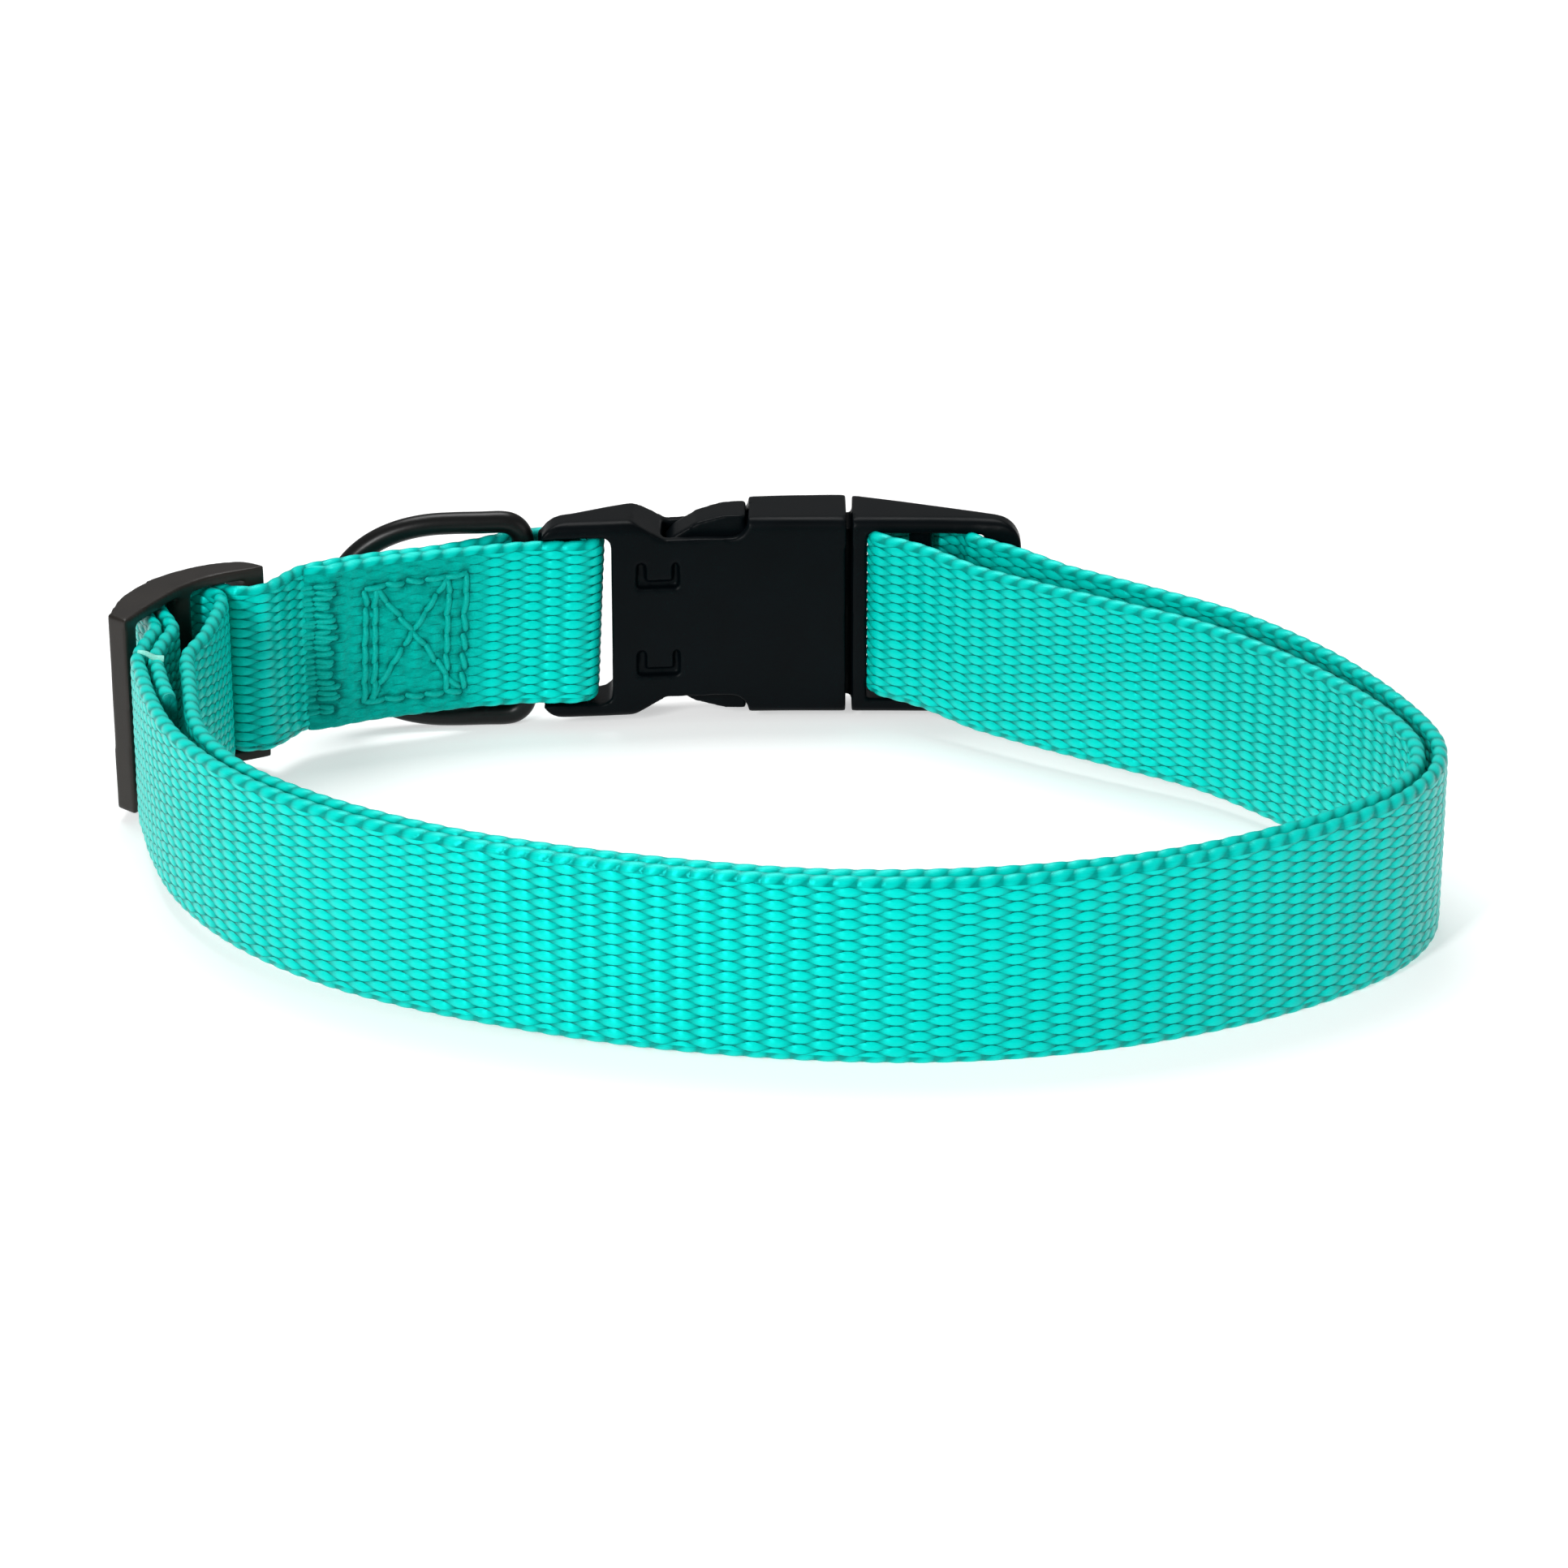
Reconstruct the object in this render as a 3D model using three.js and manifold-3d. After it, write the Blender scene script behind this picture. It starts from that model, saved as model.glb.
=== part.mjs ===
// Dog collar standing on its edge, buckle fastened: one webbing strap, a side-release buckle,
// a length slide and a D-ring. Millimetres, +Z up, +Y away from the viewer, +X to the right.
import * as THREE from 'three';
import { mergeVertices } from 'three/addons/utils/BufferGeometryUtils.js';
import Module from 'manifold-3d';

const wasm = await Module();
wasm.setup();

// Webbing and the size of the loop seen from above
const STRAP_WIDTH = 25;
const STRAP_THICK = 2.0;
const LAYER_GAP = 0.3;
const LOOP_WIDTH = 180;
const LOOP_DEPTH = 140;

// Clearances between pieces
const FIT_GAP = 0.35;
const SIDE_GAP = 0.6;
const FOLD_SLACK = 0.4;

// How far a cutting shape runs past what it cuts, and how deep a bar is rooted in its frame
const CUT_OVERRUN = 1;
const BAR_ROOT = 0.5;

// Buckle: the socket is the left half, the plug the right half
const BUCKLE_HEIGHT = 30.8;
const BUCKLE_THICK = 12.6;
const SOCKET_LENGTH = 45.5;
const PLUG_LENGTH = 24.9;
const BUCKLE_GROOVE = 0.9;
const END_BAR_WIDTH = 5.2;
const END_BAR_THICK = 2.6;
const SOCKET_SLOT = 5.6;
const SLOT_CORNER = 1.5;
const BUCKLE_WALL = 1.9;
const BUCKLE_CORNER = 4;
const RAIL_ROUND = 1.5;
const COLLAR_DEPTH = 1.8;
const WAIST_DROP = 3;
const WINDOW_CORNER = 2.5;
const PLUG_SLOT = 17.3;
const PLUG_SETBACK = 0.3;
const PLUG_BAR_WIDTH = 3.4;
const PLUG_BAR_THICK = 2.9;
const ARM_THICK = 3.2;
const ARM_SINK = 0.1;
const TONGUE_HEIGHT = 7;
const TONGUE_BEVEL = 1.5;
const RECESS_DEPTH = 1.1;
const RECESS_HEIGHT = 3.9;
const RECESS_LENGTH = 6.3;
const RECESS_SPREAD = 13.8;

// Slide, an arched frame with two end bars and a centre bar
const SLIDE_LENGTH = 28.2;
const SLIDE_HEIGHT = 29.6;
const SLIDE_ARCH = 6.2;
const SLIDE_END_BAR = 2.9;
const SLIDE_BAR_WIDTH = 3.4;
const SLIDE_BAR_THICK = 2.4;
const SLIDE_TURN = 46.6;

// D-ring of round wire
const RING_WIRE = 3.3;
const RING_HEIGHT = 33.6;
const RING_DEPTH = 32;
const RING_CORNER = 3;
const RING_TURN = 4;

// Spacing of the points along a run of strap and along the whole strap, and how far they may be thinned
const RUN_STEP = 1.5;
const PASS_STEP = 1;
const LINE_STEP = 0.4;
const THINNING = 0.02;

// How the collar leans where it stands: its back rests on the ring, its front on the strap's edge
const LEAN_BACK = 1.72;
const LEAN_SIDE = 0.62;

const DEGREE = Math.PI / 180;
const pitch = STRAP_THICK + LAYER_GAP;
const half = STRAP_THICK / 2;
const midZ = STRAP_WIDTH / 2;
const clear = half + FIT_GAP;
const openHalf = STRAP_WIDTH / 2 + SIDE_GAP;

const v2 = (x, y) => new THREE.Vector2(x, y);
const inLoop = (p) => v2(p.x * LOOP_WIDTH, p.y * LOOP_DEPTH);

// Outer face of the loop seen from above, from the slide round the front to the plug.
// x and y are shares of the loop's width and depth; layers says how many webbing layers
// further in the inner run of the strap stands at that place.
const LOOP_STATIONS = [
  { x: -0.5033, y: -0.1000, layers: 3.00 },
  { x: -0.4867, y: -0.1929, layers: 2.50 },
  { x: -0.4589, y: -0.2964, layers: 1.55 },
  { x: -0.4111, y: -0.3964, layers: 1.05 },
  { x: -0.3417, y: -0.4843, layers: 1.00 },
  { x: -0.2594, y: -0.5507, layers: 1.00 },
  { x: -0.1644, y: -0.6014, layers: 1.00 },
  { x: -0.0667, y: -0.6364, layers: 1.00 },
  { x: 0.0389, y: -0.6564, layers: 1.00 },
  { x: 0.1444, y: -0.6536, layers: 1.00 },
  { x: 0.2389, y: -0.6279, layers: 1.00 },
  { x: 0.3250, y: -0.5821, layers: 1.00 },
  { x: 0.4000, y: -0.5207, layers: 1.03 },
  { x: 0.4517, y: -0.4571, layers: 1.10 },
  { x: 0.4811, y: -0.3871, layers: 1.20 },
  { x: 0.4889, y: -0.3179, layers: 1.34 },
  { x: 0.4778, y: -0.2421, layers: 1.60 },
  { x: 0.4478, y: -0.1414, layers: 2.10 },
  { x: 0.4083, y: -0.0514, layers: 2.60 },
  { x: 0.3583, y: 0.0307, layers: 3.05 },
  { x: 0.3000, y: 0.0929, layers: 3.35 },
  { x: 0.2444, y: 0.1479, layers: 3.50 },
  { x: 0.2067, y: 0.1879, layers: 3.60 },
];

// Line between the two sewn layers at the back left, from the ring toward the slide.
const SEWN_STATIONS = [
  { x: -0.2533, y: 0.2243 },
  { x: -0.2928, y: 0.2079 },
  { x: -0.3367, y: 0.1871 },
  { x: -0.3689, y: 0.1657 },
  { x: -0.3867, y: 0.1486 },
];

// Share of the loop line, counted from the slide, where the folded tail stops.
const TAIL_STOP = 0.050;

// Frame of the slide seen from above: along runs from its front end to its back end,
// out points away from the neck. Shares of the slide's length and of its arch.
const SLIDE_OUTER = [
  [-0.500, -0.08], [-0.440, 0.10], [-0.355, 0.40], [-0.270, 0.64], [-0.150, 0.86], [-0.045, 0.98],
  [0.040, 1.01], [0.125, 1.01], [0.200, 0.98], [0.270, 0.92], [0.335, 0.82], [0.395, 0.68],
  [0.450, 0.50], [0.485, 0.30], [0.500, 0.05],
];
const SLIDE_INNER = [
  [-0.500, -0.70], [-0.440, -0.61], [-0.300, -0.36], [-0.190, -0.18], [-0.080, -0.02], [0.000, 0.08],
  [0.100, 0.14], [0.185, 0.14], [0.260, 0.08], [0.330, -0.02], [0.390, -0.12], [0.455, -0.22],
  [0.500, -0.26],
];

// Buckle seen from above: share of its length, then inner and outer face as shares of its thickness.
const BUCKLE_FACES = [
  [0.000, 0.00, 0.41], [0.060, 0.03, 0.53], [0.158, 0.09, 0.86], [0.193, 0.12, 0.95],
  [0.341, 0.21, 1.11], [0.509, 0.24, 1.21], [0.629, 0.24, 1.24], [0.648, 0.24, 1.22],
  [0.736, 0.24, 1.03], [0.818, 0.23, 0.85], [0.902, 0.21, 0.65], [0.972, 0.15, 0.47],
  [1.000, 0.13, 0.40],
];

const degreesVector = (angle) => v2(Math.cos(angle * DEGREE), Math.sin(angle * DEGREE));

function tableValue(table, x, column) {
  let i = 0;
  while (i < table.length - 2 && table[i + 1][0] < x) i += 1;
  const f = (x - table[i][0]) / (table[i + 1][0] - table[i][0]);
  return table[i][column] + (table[i + 1][column] - table[i][column]) * Math.min(1, Math.max(0, f));
}

function smooth(points, step) {
  const curve = new THREE.CatmullRomCurve3(points.map((p) => new THREE.Vector3(p.x, p.y, 0)), false, 'centripetal');
  curve.arcLengthDivisions = points.length * 30;
  const count = Math.max(8, Math.round(curve.getLength() / step));
  return curve.getSpacedPoints(count).map((p) => v2(p.x, p.y));
}

function normalsOf(points) {
  return points.map((p, i) => {
    const before = points[Math.max(0, i - 1)];
    const after = points[Math.min(points.length - 1, i + 1)];
    const t = after.clone().sub(before).normalize();
    return v2(-t.y, t.x);
  });
}

function offset(points, distance) {
  const normals = normalsOf(points);
  return points.map((p, i) => p.clone().addScaledVector(normals[i], distance));
}

// Leaves out points that lie within the tolerance of the line through their neighbours.
function thin(points, tolerance) {
  if (points.length < 3) return points;
  const a = points[0];
  const b = points[points.length - 1];
  const along = b.clone().sub(a);
  const length = along.length() || 1;
  let worst = 0;
  let at = 0;
  for (let i = 1; i < points.length - 1; i += 1) {
    const d = points[i].clone().sub(a);
    const away = Math.abs(along.x * d.y - along.y * d.x) / length;
    if (away > worst) {
      worst = away;
      at = i;
    }
  }
  if (worst < tolerance) return [a, b];
  return [...thin(points.slice(0, at + 1), tolerance), ...thin(points.slice(at), tolerance).slice(1)];
}

// Hard pieces seen from above
const buckleLength = SOCKET_LENGTH + BUCKLE_GROOVE + PLUG_LENGTH;
const buckleX = -0.2017 * LOOP_WIDTH;
const buckleY = 0.2243 * LOOP_DEPTH;
const buckleInner = (x) => buckleY + BUCKLE_THICK * tableValue(BUCKLE_FACES, (x - buckleX) / buckleLength, 1);
const buckleOuter = (x) => buckleY + BUCKLE_THICK * tableValue(BUCKLE_FACES, (x - buckleX) / buckleLength, 2);

// The ring's bar and the socket's end bar stand between the same two runs of strap.
const runHalf = RING_WIRE / 2 + clear;
const hingeY = buckleY + STRAP_THICK - LAYER_GAP + FIT_GAP + RING_WIRE / 2;
const ringBar = v2(buckleX - SIDE_GAP - RING_WIRE / 2, hingeY);
const innerRunY = hingeY - runHalf;
const outerRunY = hingeY + runHalf;
const socketFoldX = buckleX + END_BAR_WIDTH + FOLD_SLACK;

const slideCentre = inLoop({ x: -0.4758, y: 0.05 });
const slideAlong = degreesVector(SLIDE_TURN);
const slideOut = v2(-slideAlong.y, slideAlong.x);
const onSlide = (s, n) => slideCentre.clone().addScaledVector(slideAlong, s).addScaledVector(slideOut, n);
const slideInner = (s) => SLIDE_ARCH * tableValue(SLIDE_INNER, s / SLIDE_LENGTH, 1);
const slideEnd = SLIDE_LENGTH / 2;
const nearBarEdge = -slideEnd + SLIDE_END_BAR;
const farBarEdge = slideEnd - SLIDE_END_BAR;
const centreBar = { s0: -0.025 * SLIDE_LENGTH, n0: 0.15 * SLIDE_ARCH };
centreBar.s1 = centreBar.s0 + SLIDE_BAR_WIDTH;
centreBar.n1 = centreBar.n0 + SLIDE_BAR_THICK;

const plugX = buckleX + SOCKET_LENGTH + BUCKLE_GROOVE;
const plugSlotX = plugX + BUCKLE_WALL + PLUG_SETBACK;
const plugSlotEnd = plugSlotX + PLUG_SLOT;
const plugBar = { x0: plugSlotX + 0.36 * PLUG_SLOT, y0: buckleY + 0.37 * BUCKLE_THICK };
plugBar.x1 = plugBar.x0 + PLUG_BAR_WIDTH;
plugBar.y1 = plugBar.y0 + PLUG_BAR_THICK;

// Middle line of the strap, run by run
const loopLine = smooth(LOOP_STATIONS.map(inLoop), RUN_STEP);
const loopNormals = normalsOf(loopLine);
const stationArc = LOOP_STATIONS.map(inLoop).reduce((sum, p, i, all) => {
  sum.push(i === 0 ? 0 : sum[i - 1] + p.distanceTo(all[i - 1]));
  return sum;
}, []);
const layerTable = LOOP_STATIONS.map((p, i) => [stationArc[i] / stationArc[stationArc.length - 1], p.layers]);
const outerRun = loopLine.map((p, i) => p.clone().addScaledVector(loopNormals[i], half));
const innerRun = loopLine.map((p, i) => {
  const layers = tableValue(layerTable, i / (loopLine.length - 1), 1);
  return p.clone().addScaledVector(loopNormals[i], half + pitch * layers);
});
const tailRun = loopLine
  .filter((p, i) => i / (loopLine.length - 1) <= TAIL_STOP)
  .map((p, i) => p.clone().addScaledVector(loopNormals[i], half + pitch * 1.05));

const sewnLine = smooth(SEWN_STATIONS.map(inLoop), RUN_STEP);
const sewnInner = offset(sewnLine, pitch / 2);
const sewnOuter = offset(sewnLine, -pitch / 2);

// Round the socket's end bar, from the inner run to the outer run
const socketFold = [];
for (let i = 0; i <= 8; i += 1) {
  const a = (-90 + (180 * i) / 8) * DEGREE;
  socketFold.push(v2(socketFoldX + runHalf * Math.cos(a), hingeY + runHalf * Math.sin(a)));
}

// Round the slide's centre bar. The last table column says how many layers lie under that point.
const overBar = centreBar.n1 + clear;
const underNear = slideInner(-slideEnd + SLIDE_END_BAR / 2) - clear;
const slideFold = [
  onSlide(-0.205 * SLIDE_LENGTH, -1.82 * SLIDE_ARCH),
  onSlide(-0.019 * SLIDE_LENGTH, -1.17 * SLIDE_ARCH),
  onSlide(0.127 * SLIDE_LENGTH, -0.62 * SLIDE_ARCH),
  onSlide(0.212 * SLIDE_LENGTH, -0.20 * SLIDE_ARCH),
  onSlide(centreBar.s1 + 0.135 * SLIDE_LENGTH, centreBar.n0),
  onSlide(centreBar.s1 + 0.095 * SLIDE_LENGTH, centreBar.n1 + 0.4 * clear),
  onSlide(centreBar.s1, overBar),
];
// From over the centre bar down through the front slot, shares of the way to the near bar's inner side.
const FRONT_SLOT = [
  [0.00, 0.00], [0.05, 0.02], [0.20, 0.18], [0.35, 0.40], [0.49, 0.62], [0.67, 0.83], [1.00, 1.00],
];
const slotStart = { s: centreBar.s0, n: overBar };
const slotEnd = { s: nearBarEdge + 0.035 * SLIDE_LENGTH, n: underNear - pitch - 0.12 * SLIDE_ARCH };
const tailSlot = FRONT_SLOT.map(([f, g]) => onSlide(
  slotStart.s + (slotEnd.s - slotStart.s) * f,
  slotStart.n + (slotEnd.n - slotStart.n) * g,
));
const tailPass = smooth([slideFold[slideFold.length - 1], ...tailSlot, ...tailRun], PASS_STEP);
const runPass = offset(tailPass, -(pitch + 0.025 * STRAP_THICK)).filter((p) => p.clone().sub(slideCentre).dot(slideAlong) > -slideEnd);
const farSlot = [
  onSlide(slideEnd - SLIDE_END_BAR / 2, slideInner(slideEnd) - clear),
  onSlide(farBarEdge - 0.2 * clear, slideInner(farBarEdge) - 1.05 * clear),
  onSlide(farBarEdge - 1.35 * clear, slideInner(farBarEdge) - 0.1 * clear),
  onSlide(farBarEdge - 1.75 * clear, centreBar.n0 + 0.2 * clear),
  onSlide(farBarEdge - 2.6 * clear, overBar - 0.1 * pitch),
  onSlide(centreBar.s1 + 0.11 * SLIDE_LENGTH, overBar + 0.75 * pitch),
];

// Through the plug: out by the slot at its end, over the centre bar, back in by the other slot.
// Each point is placed beside an edge by shares of the plug's slot and of the buckle's thickness.
const plugTop = plugBar.y1 + clear;
const plugMid = (plugBar.y0 + plugBar.y1) / 2;
const besidePlug = (x, slots, y, thicknesses) => v2(x + slots * PLUG_SLOT, y + thicknesses * BUCKLE_THICK);
const plugFold = [
  besidePlug(plugSlotEnd, 0.052, buckleInner(plugSlotEnd), -0.270),
  besidePlug(plugSlotEnd, -0.092, buckleInner(plugSlotEnd), -0.040),
  besidePlug(plugBar.x1, 0.283, plugMid, -0.056),
  besidePlug(plugBar.x1, 0.150, plugTop, -0.087),
  besidePlug(plugBar.x1, -0.012, plugTop, 0.024),
  besidePlug(plugBar.x0, 0.012, plugTop, 0.016),
  besidePlug(plugBar.x0, -0.150, plugTop, -0.095),
  besidePlug(plugBar.x0, -0.260, plugMid, -0.032),
  besidePlug(plugBar.x0, -0.277, plugBar.y0, -0.095),
  besidePlug(plugBar.x0, -0.191, plugBar.y0, -0.286),
  besidePlug(plugBar.x0, -0.012, plugBar.y0, -0.484),
];

// Control points thinned so that the smoothing spline has room between the runs
const every = (points, n) => points.filter((p, i) => i % n === 0 || i === points.length - 1);
const strapControl = [
  ...every(sewnInner.slice().reverse(), 4),
  v2(ringBar.x + 0.2 * runHalf, innerRunY - 0.025 * STRAP_THICK),
  v2(buckleX + END_BAR_WIDTH / 2, innerRunY),
  ...socketFold,
  v2(buckleX + END_BAR_WIDTH / 2, outerRunY),
  v2(ringBar.x + 0.2 * runHalf, outerRunY + 0.05 * STRAP_THICK),
  v2(ringBar.x - 0.75 * runHalf, outerRunY - 0.2 * runHalf),
  v2(ringBar.x - 1.45 * runHalf, outerRunY - 0.85 * runHalf),
  ...every(sewnOuter, 4).slice(1),
  ...farSlot,
  ...every(runPass, 2),
  ...every(outerRun, 4),
  ...plugFold,
  ...every(innerRun.slice().reverse(), 4),
  ...slideFold,
  ...tailSlot,
  ...every(tailRun, 3),
];
export const strapLine = smooth(strapControl, LINE_STEP);
const strapMiddle = thin(strapLine, THINNING);

function extruded(points, height) {
  return new THREE.ExtrudeGeometry(new THREE.Shape(points), { depth: height, bevelEnabled: false });
}

function strapGeometry() {
  const left = offset(strapMiddle, half);
  const right = offset(strapMiddle, -half).reverse();
  return extruded([...left, ...right], STRAP_WIDTH);
}

// Solids for the hard pieces
function solid(geometry) {
  const plain = geometry.clone();
  plain.deleteAttribute('normal');
  plain.deleteAttribute('uv');
  const merged = mergeVertices(plain, 1e-4);
  return new wasm.Manifold(new wasm.Mesh({
    numProp: 3,
    vertProperties: new Float32Array(merged.attributes.position.array),
    triVerts: new Uint32Array(merged.index.array),
  }));
}

function geometryOf(body) {
  const mesh = body.getMesh();
  const geometry = new THREE.BufferGeometry();
  geometry.setAttribute('position', new THREE.BufferAttribute(new Float32Array(mesh.vertProperties), 3));
  geometry.setIndex(new THREE.BufferAttribute(new Uint32Array(mesh.triVerts), 1));
  return geometry;
}

function block(x0, x1, y0, y1, z0, z1) {
  const geometry = new THREE.BoxGeometry(x1 - x0, y1 - y0, z1 - z0);
  geometry.translate((x0 + x1) / 2, (y0 + y1) / 2, (z0 + z1) / 2);
  return solid(geometry);
}

function roundedBar(x0, x1, y0, y1, radius, z0, z1) {
  const points = [];
  const corners = [[x1 - radius, y1 - radius, 0], [x0 + radius, y1 - radius, 90], [x0 + radius, y0 + radius, 180], [x1 - radius, y0 + radius, 270]];
  corners.forEach(([cx, cy, start]) => {
    for (let i = 0; i <= 4; i += 1) {
      const a = (start + (90 * i) / 4) * DEGREE;
      points.push(v2(cx + radius * Math.cos(a), cy + radius * Math.sin(a)));
    }
  });
  const geometry = extruded(points, z1 - z0);
  geometry.translate(0, 0, z0);
  return solid(geometry);
}

// A slab between two curves seen from above
function slab(x0, x1, low, high, z0, z1, steps) {
  const points = [];
  for (let i = 0; i <= steps; i += 1) {
    const x = x0 + ((x1 - x0) * i) / steps;
    points.push(v2(x, low(x)));
  }
  for (let i = steps; i >= 0; i -= 1) {
    const x = x0 + ((x1 - x0) * i) / steps;
    points.push(v2(x, high(x)));
  }
  const geometry = extruded(points, z1 - z0);
  geometry.translate(0, 0, z0);
  return solid(geometry);
}

// A bar along X between two curves seen from above, its four long edges rounded
function roundedRail(x0, x1, low, high, z0, z1, radius, steps) {
  const positions = [];
  const index = [];
  const perCorner = 4;
  const count = 4 * (perCorner + 1);
  for (let i = 0; i <= steps; i += 1) {
    const x = x0 + ((x1 - x0) * i) / steps;
    const corners = [
      [high(x) - radius, z1 - radius, 0], [low(x) + radius, z1 - radius, 90],
      [low(x) + radius, z0 + radius, 180], [high(x) - radius, z0 + radius, 270],
    ];
    corners.forEach(([cy, cz, start]) => {
      for (let k = 0; k <= perCorner; k += 1) {
        const a = (start + (90 * k) / perCorner) * DEGREE;
        positions.push(x, cy + radius * Math.cos(a), cz + radius * Math.sin(a));
      }
    });
  }
  for (let i = 0; i < steps; i += 1) {
    for (let k = 0; k < count; k += 1) {
      const a = i * count + k;
      const b = i * count + ((k + 1) % count);
      index.push(a, b, a + count, b, b + count, a + count);
    }
  }
  const last = steps * count;
  for (let k = 1; k < count - 1; k += 1) {
    index.push(0, k + 1, k);
    index.push(last, last + k, last + k + 1);
  }
  const geometry = new THREE.BufferGeometry();
  geometry.setAttribute('position', new THREE.BufferAttribute(new Float32Array(positions), 3));
  geometry.setIndex(index);
  return solid(geometry);
}

// A shape drawn in the front view, carried through the whole depth
function frontCut(points) {
  const depth = LOOP_DEPTH;
  const geometry = extruded(points, depth);
  geometry.rotateX(Math.PI / 2);
  geometry.translate(0, depth, 0);
  return solid(geometry);
}

// Mirrors the upper half outline below the strap's middle height
function mirrored(upper) {
  const lower = upper.map(([x, h]) => v2(x, midZ - h)).reverse();
  return [...upper.map(([x, h]) => v2(x, midZ + h)), ...lower];
}

function arcPoints(cx, cy, radius, from, to, steps) {
  const points = [];
  for (let i = 0; i <= steps; i += 1) {
    const a = (from + ((to - from) * i) / steps) * DEGREE;
    points.push([cx + radius * Math.cos(a), cy + radius * Math.sin(a)]);
  }
  return points;
}

const buckleHalf = BUCKLE_HEIGHT / 2;
const socketEnd = buckleX + SOCKET_LENGTH;
const waistX = buckleX + 0.41 * SOCKET_LENGTH;
const windowEnd = buckleX + 0.681 * SOCKET_LENGTH;
const waistHalf = buckleHalf - WAIST_DROP;
const cavityX = waistX - 0.011 * SOCKET_LENGTH;
const cavityHalf = buckleHalf - BUCKLE_WALL;

function socketBody() {
  const outline = [
    ...arcPoints(buckleX + BUCKLE_CORNER, buckleHalf - BUCKLE_CORNER, BUCKLE_CORNER, 180, 90, 6),
    [buckleX + 0.301 * SOCKET_LENGTH, buckleHalf],
    [waistX, waistHalf],
    ...arcPoints(windowEnd - WINDOW_CORNER, waistHalf + WINDOW_CORNER, WINDOW_CORNER, 270, 360, 5),
    [windowEnd, buckleHalf],
    [socketEnd, buckleHalf],
  ];
  const low = midZ - buckleHalf - CUT_OVERRUN;
  const high = midZ + buckleHalf + CUT_OVERRUN;
  const rail = roundedRail(buckleX, socketEnd, buckleInner, buckleOuter, midZ - buckleHalf, midZ + buckleHalf, RAIL_ROUND, 18);
  let body = rail.intersect(frontCut(mirrored(outline)));
  const slotX0 = buckleX + END_BAR_WIDTH;
  const slotX1 = slotX0 + SOCKET_SLOT;
  const slot = [
    [buckleX - CUT_OVERRUN, openHalf],
    ...arcPoints(slotX1 - SLOT_CORNER, openHalf - SLOT_CORNER, SLOT_CORNER, 90, 0, 4),
  ];
  body = body.subtract(frontCut(mirrored(slot)));
  body = body.add(roundedBar(
    buckleX,
    slotX0,
    hingeY - END_BAR_THICK / 2,
    hingeY + END_BAR_THICK / 2,
    END_BAR_THICK * 0.4,
    midZ - openHalf - BAR_ROOT,
    midZ + openHalf + BAR_ROOT,
  ));
  const cavityLow = (x) => buckleInner(x) + BUCKLE_WALL;
  const cavityHigh = (x) => buckleOuter(x) - BUCKLE_WALL;
  body = body.subtract(slab(cavityX, socketEnd + CUT_OVERRUN, cavityLow, cavityHigh, midZ - cavityHalf, midZ + cavityHalf, 12));
  body = body.subtract(slab(cavityX, windowEnd, cavityLow, cavityHigh, low, high, 6));
  const recessX = waistX - 0.66 * RECESS_LENGTH;
  [-1, 1].forEach((side) => {
    const z = midZ + (side * RECESS_SPREAD) / 2;
    const floor = (x) => buckleInner(x) + RECESS_DEPTH;
    const front = (x) => buckleInner(x) - CUT_OVERRUN;
    const pocket = slab(recessX, recessX + RECESS_LENGTH, front, floor, z - RECESS_HEIGHT / 2, z + RECESS_HEIGHT / 2, 2);
    const tabLeft = recessX + 0.22 * RECESS_LENGTH;
    const tabRight = recessX + 0.84 * RECESS_LENGTH;
    const tab = slab(tabLeft, tabRight, front, floor, z - 0.2 * RECESS_HEIGHT, z + RECESS_HEIGHT, 2);
    body = body.subtract(pocket.subtract(tab));
  });
  return body;
}

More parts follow.
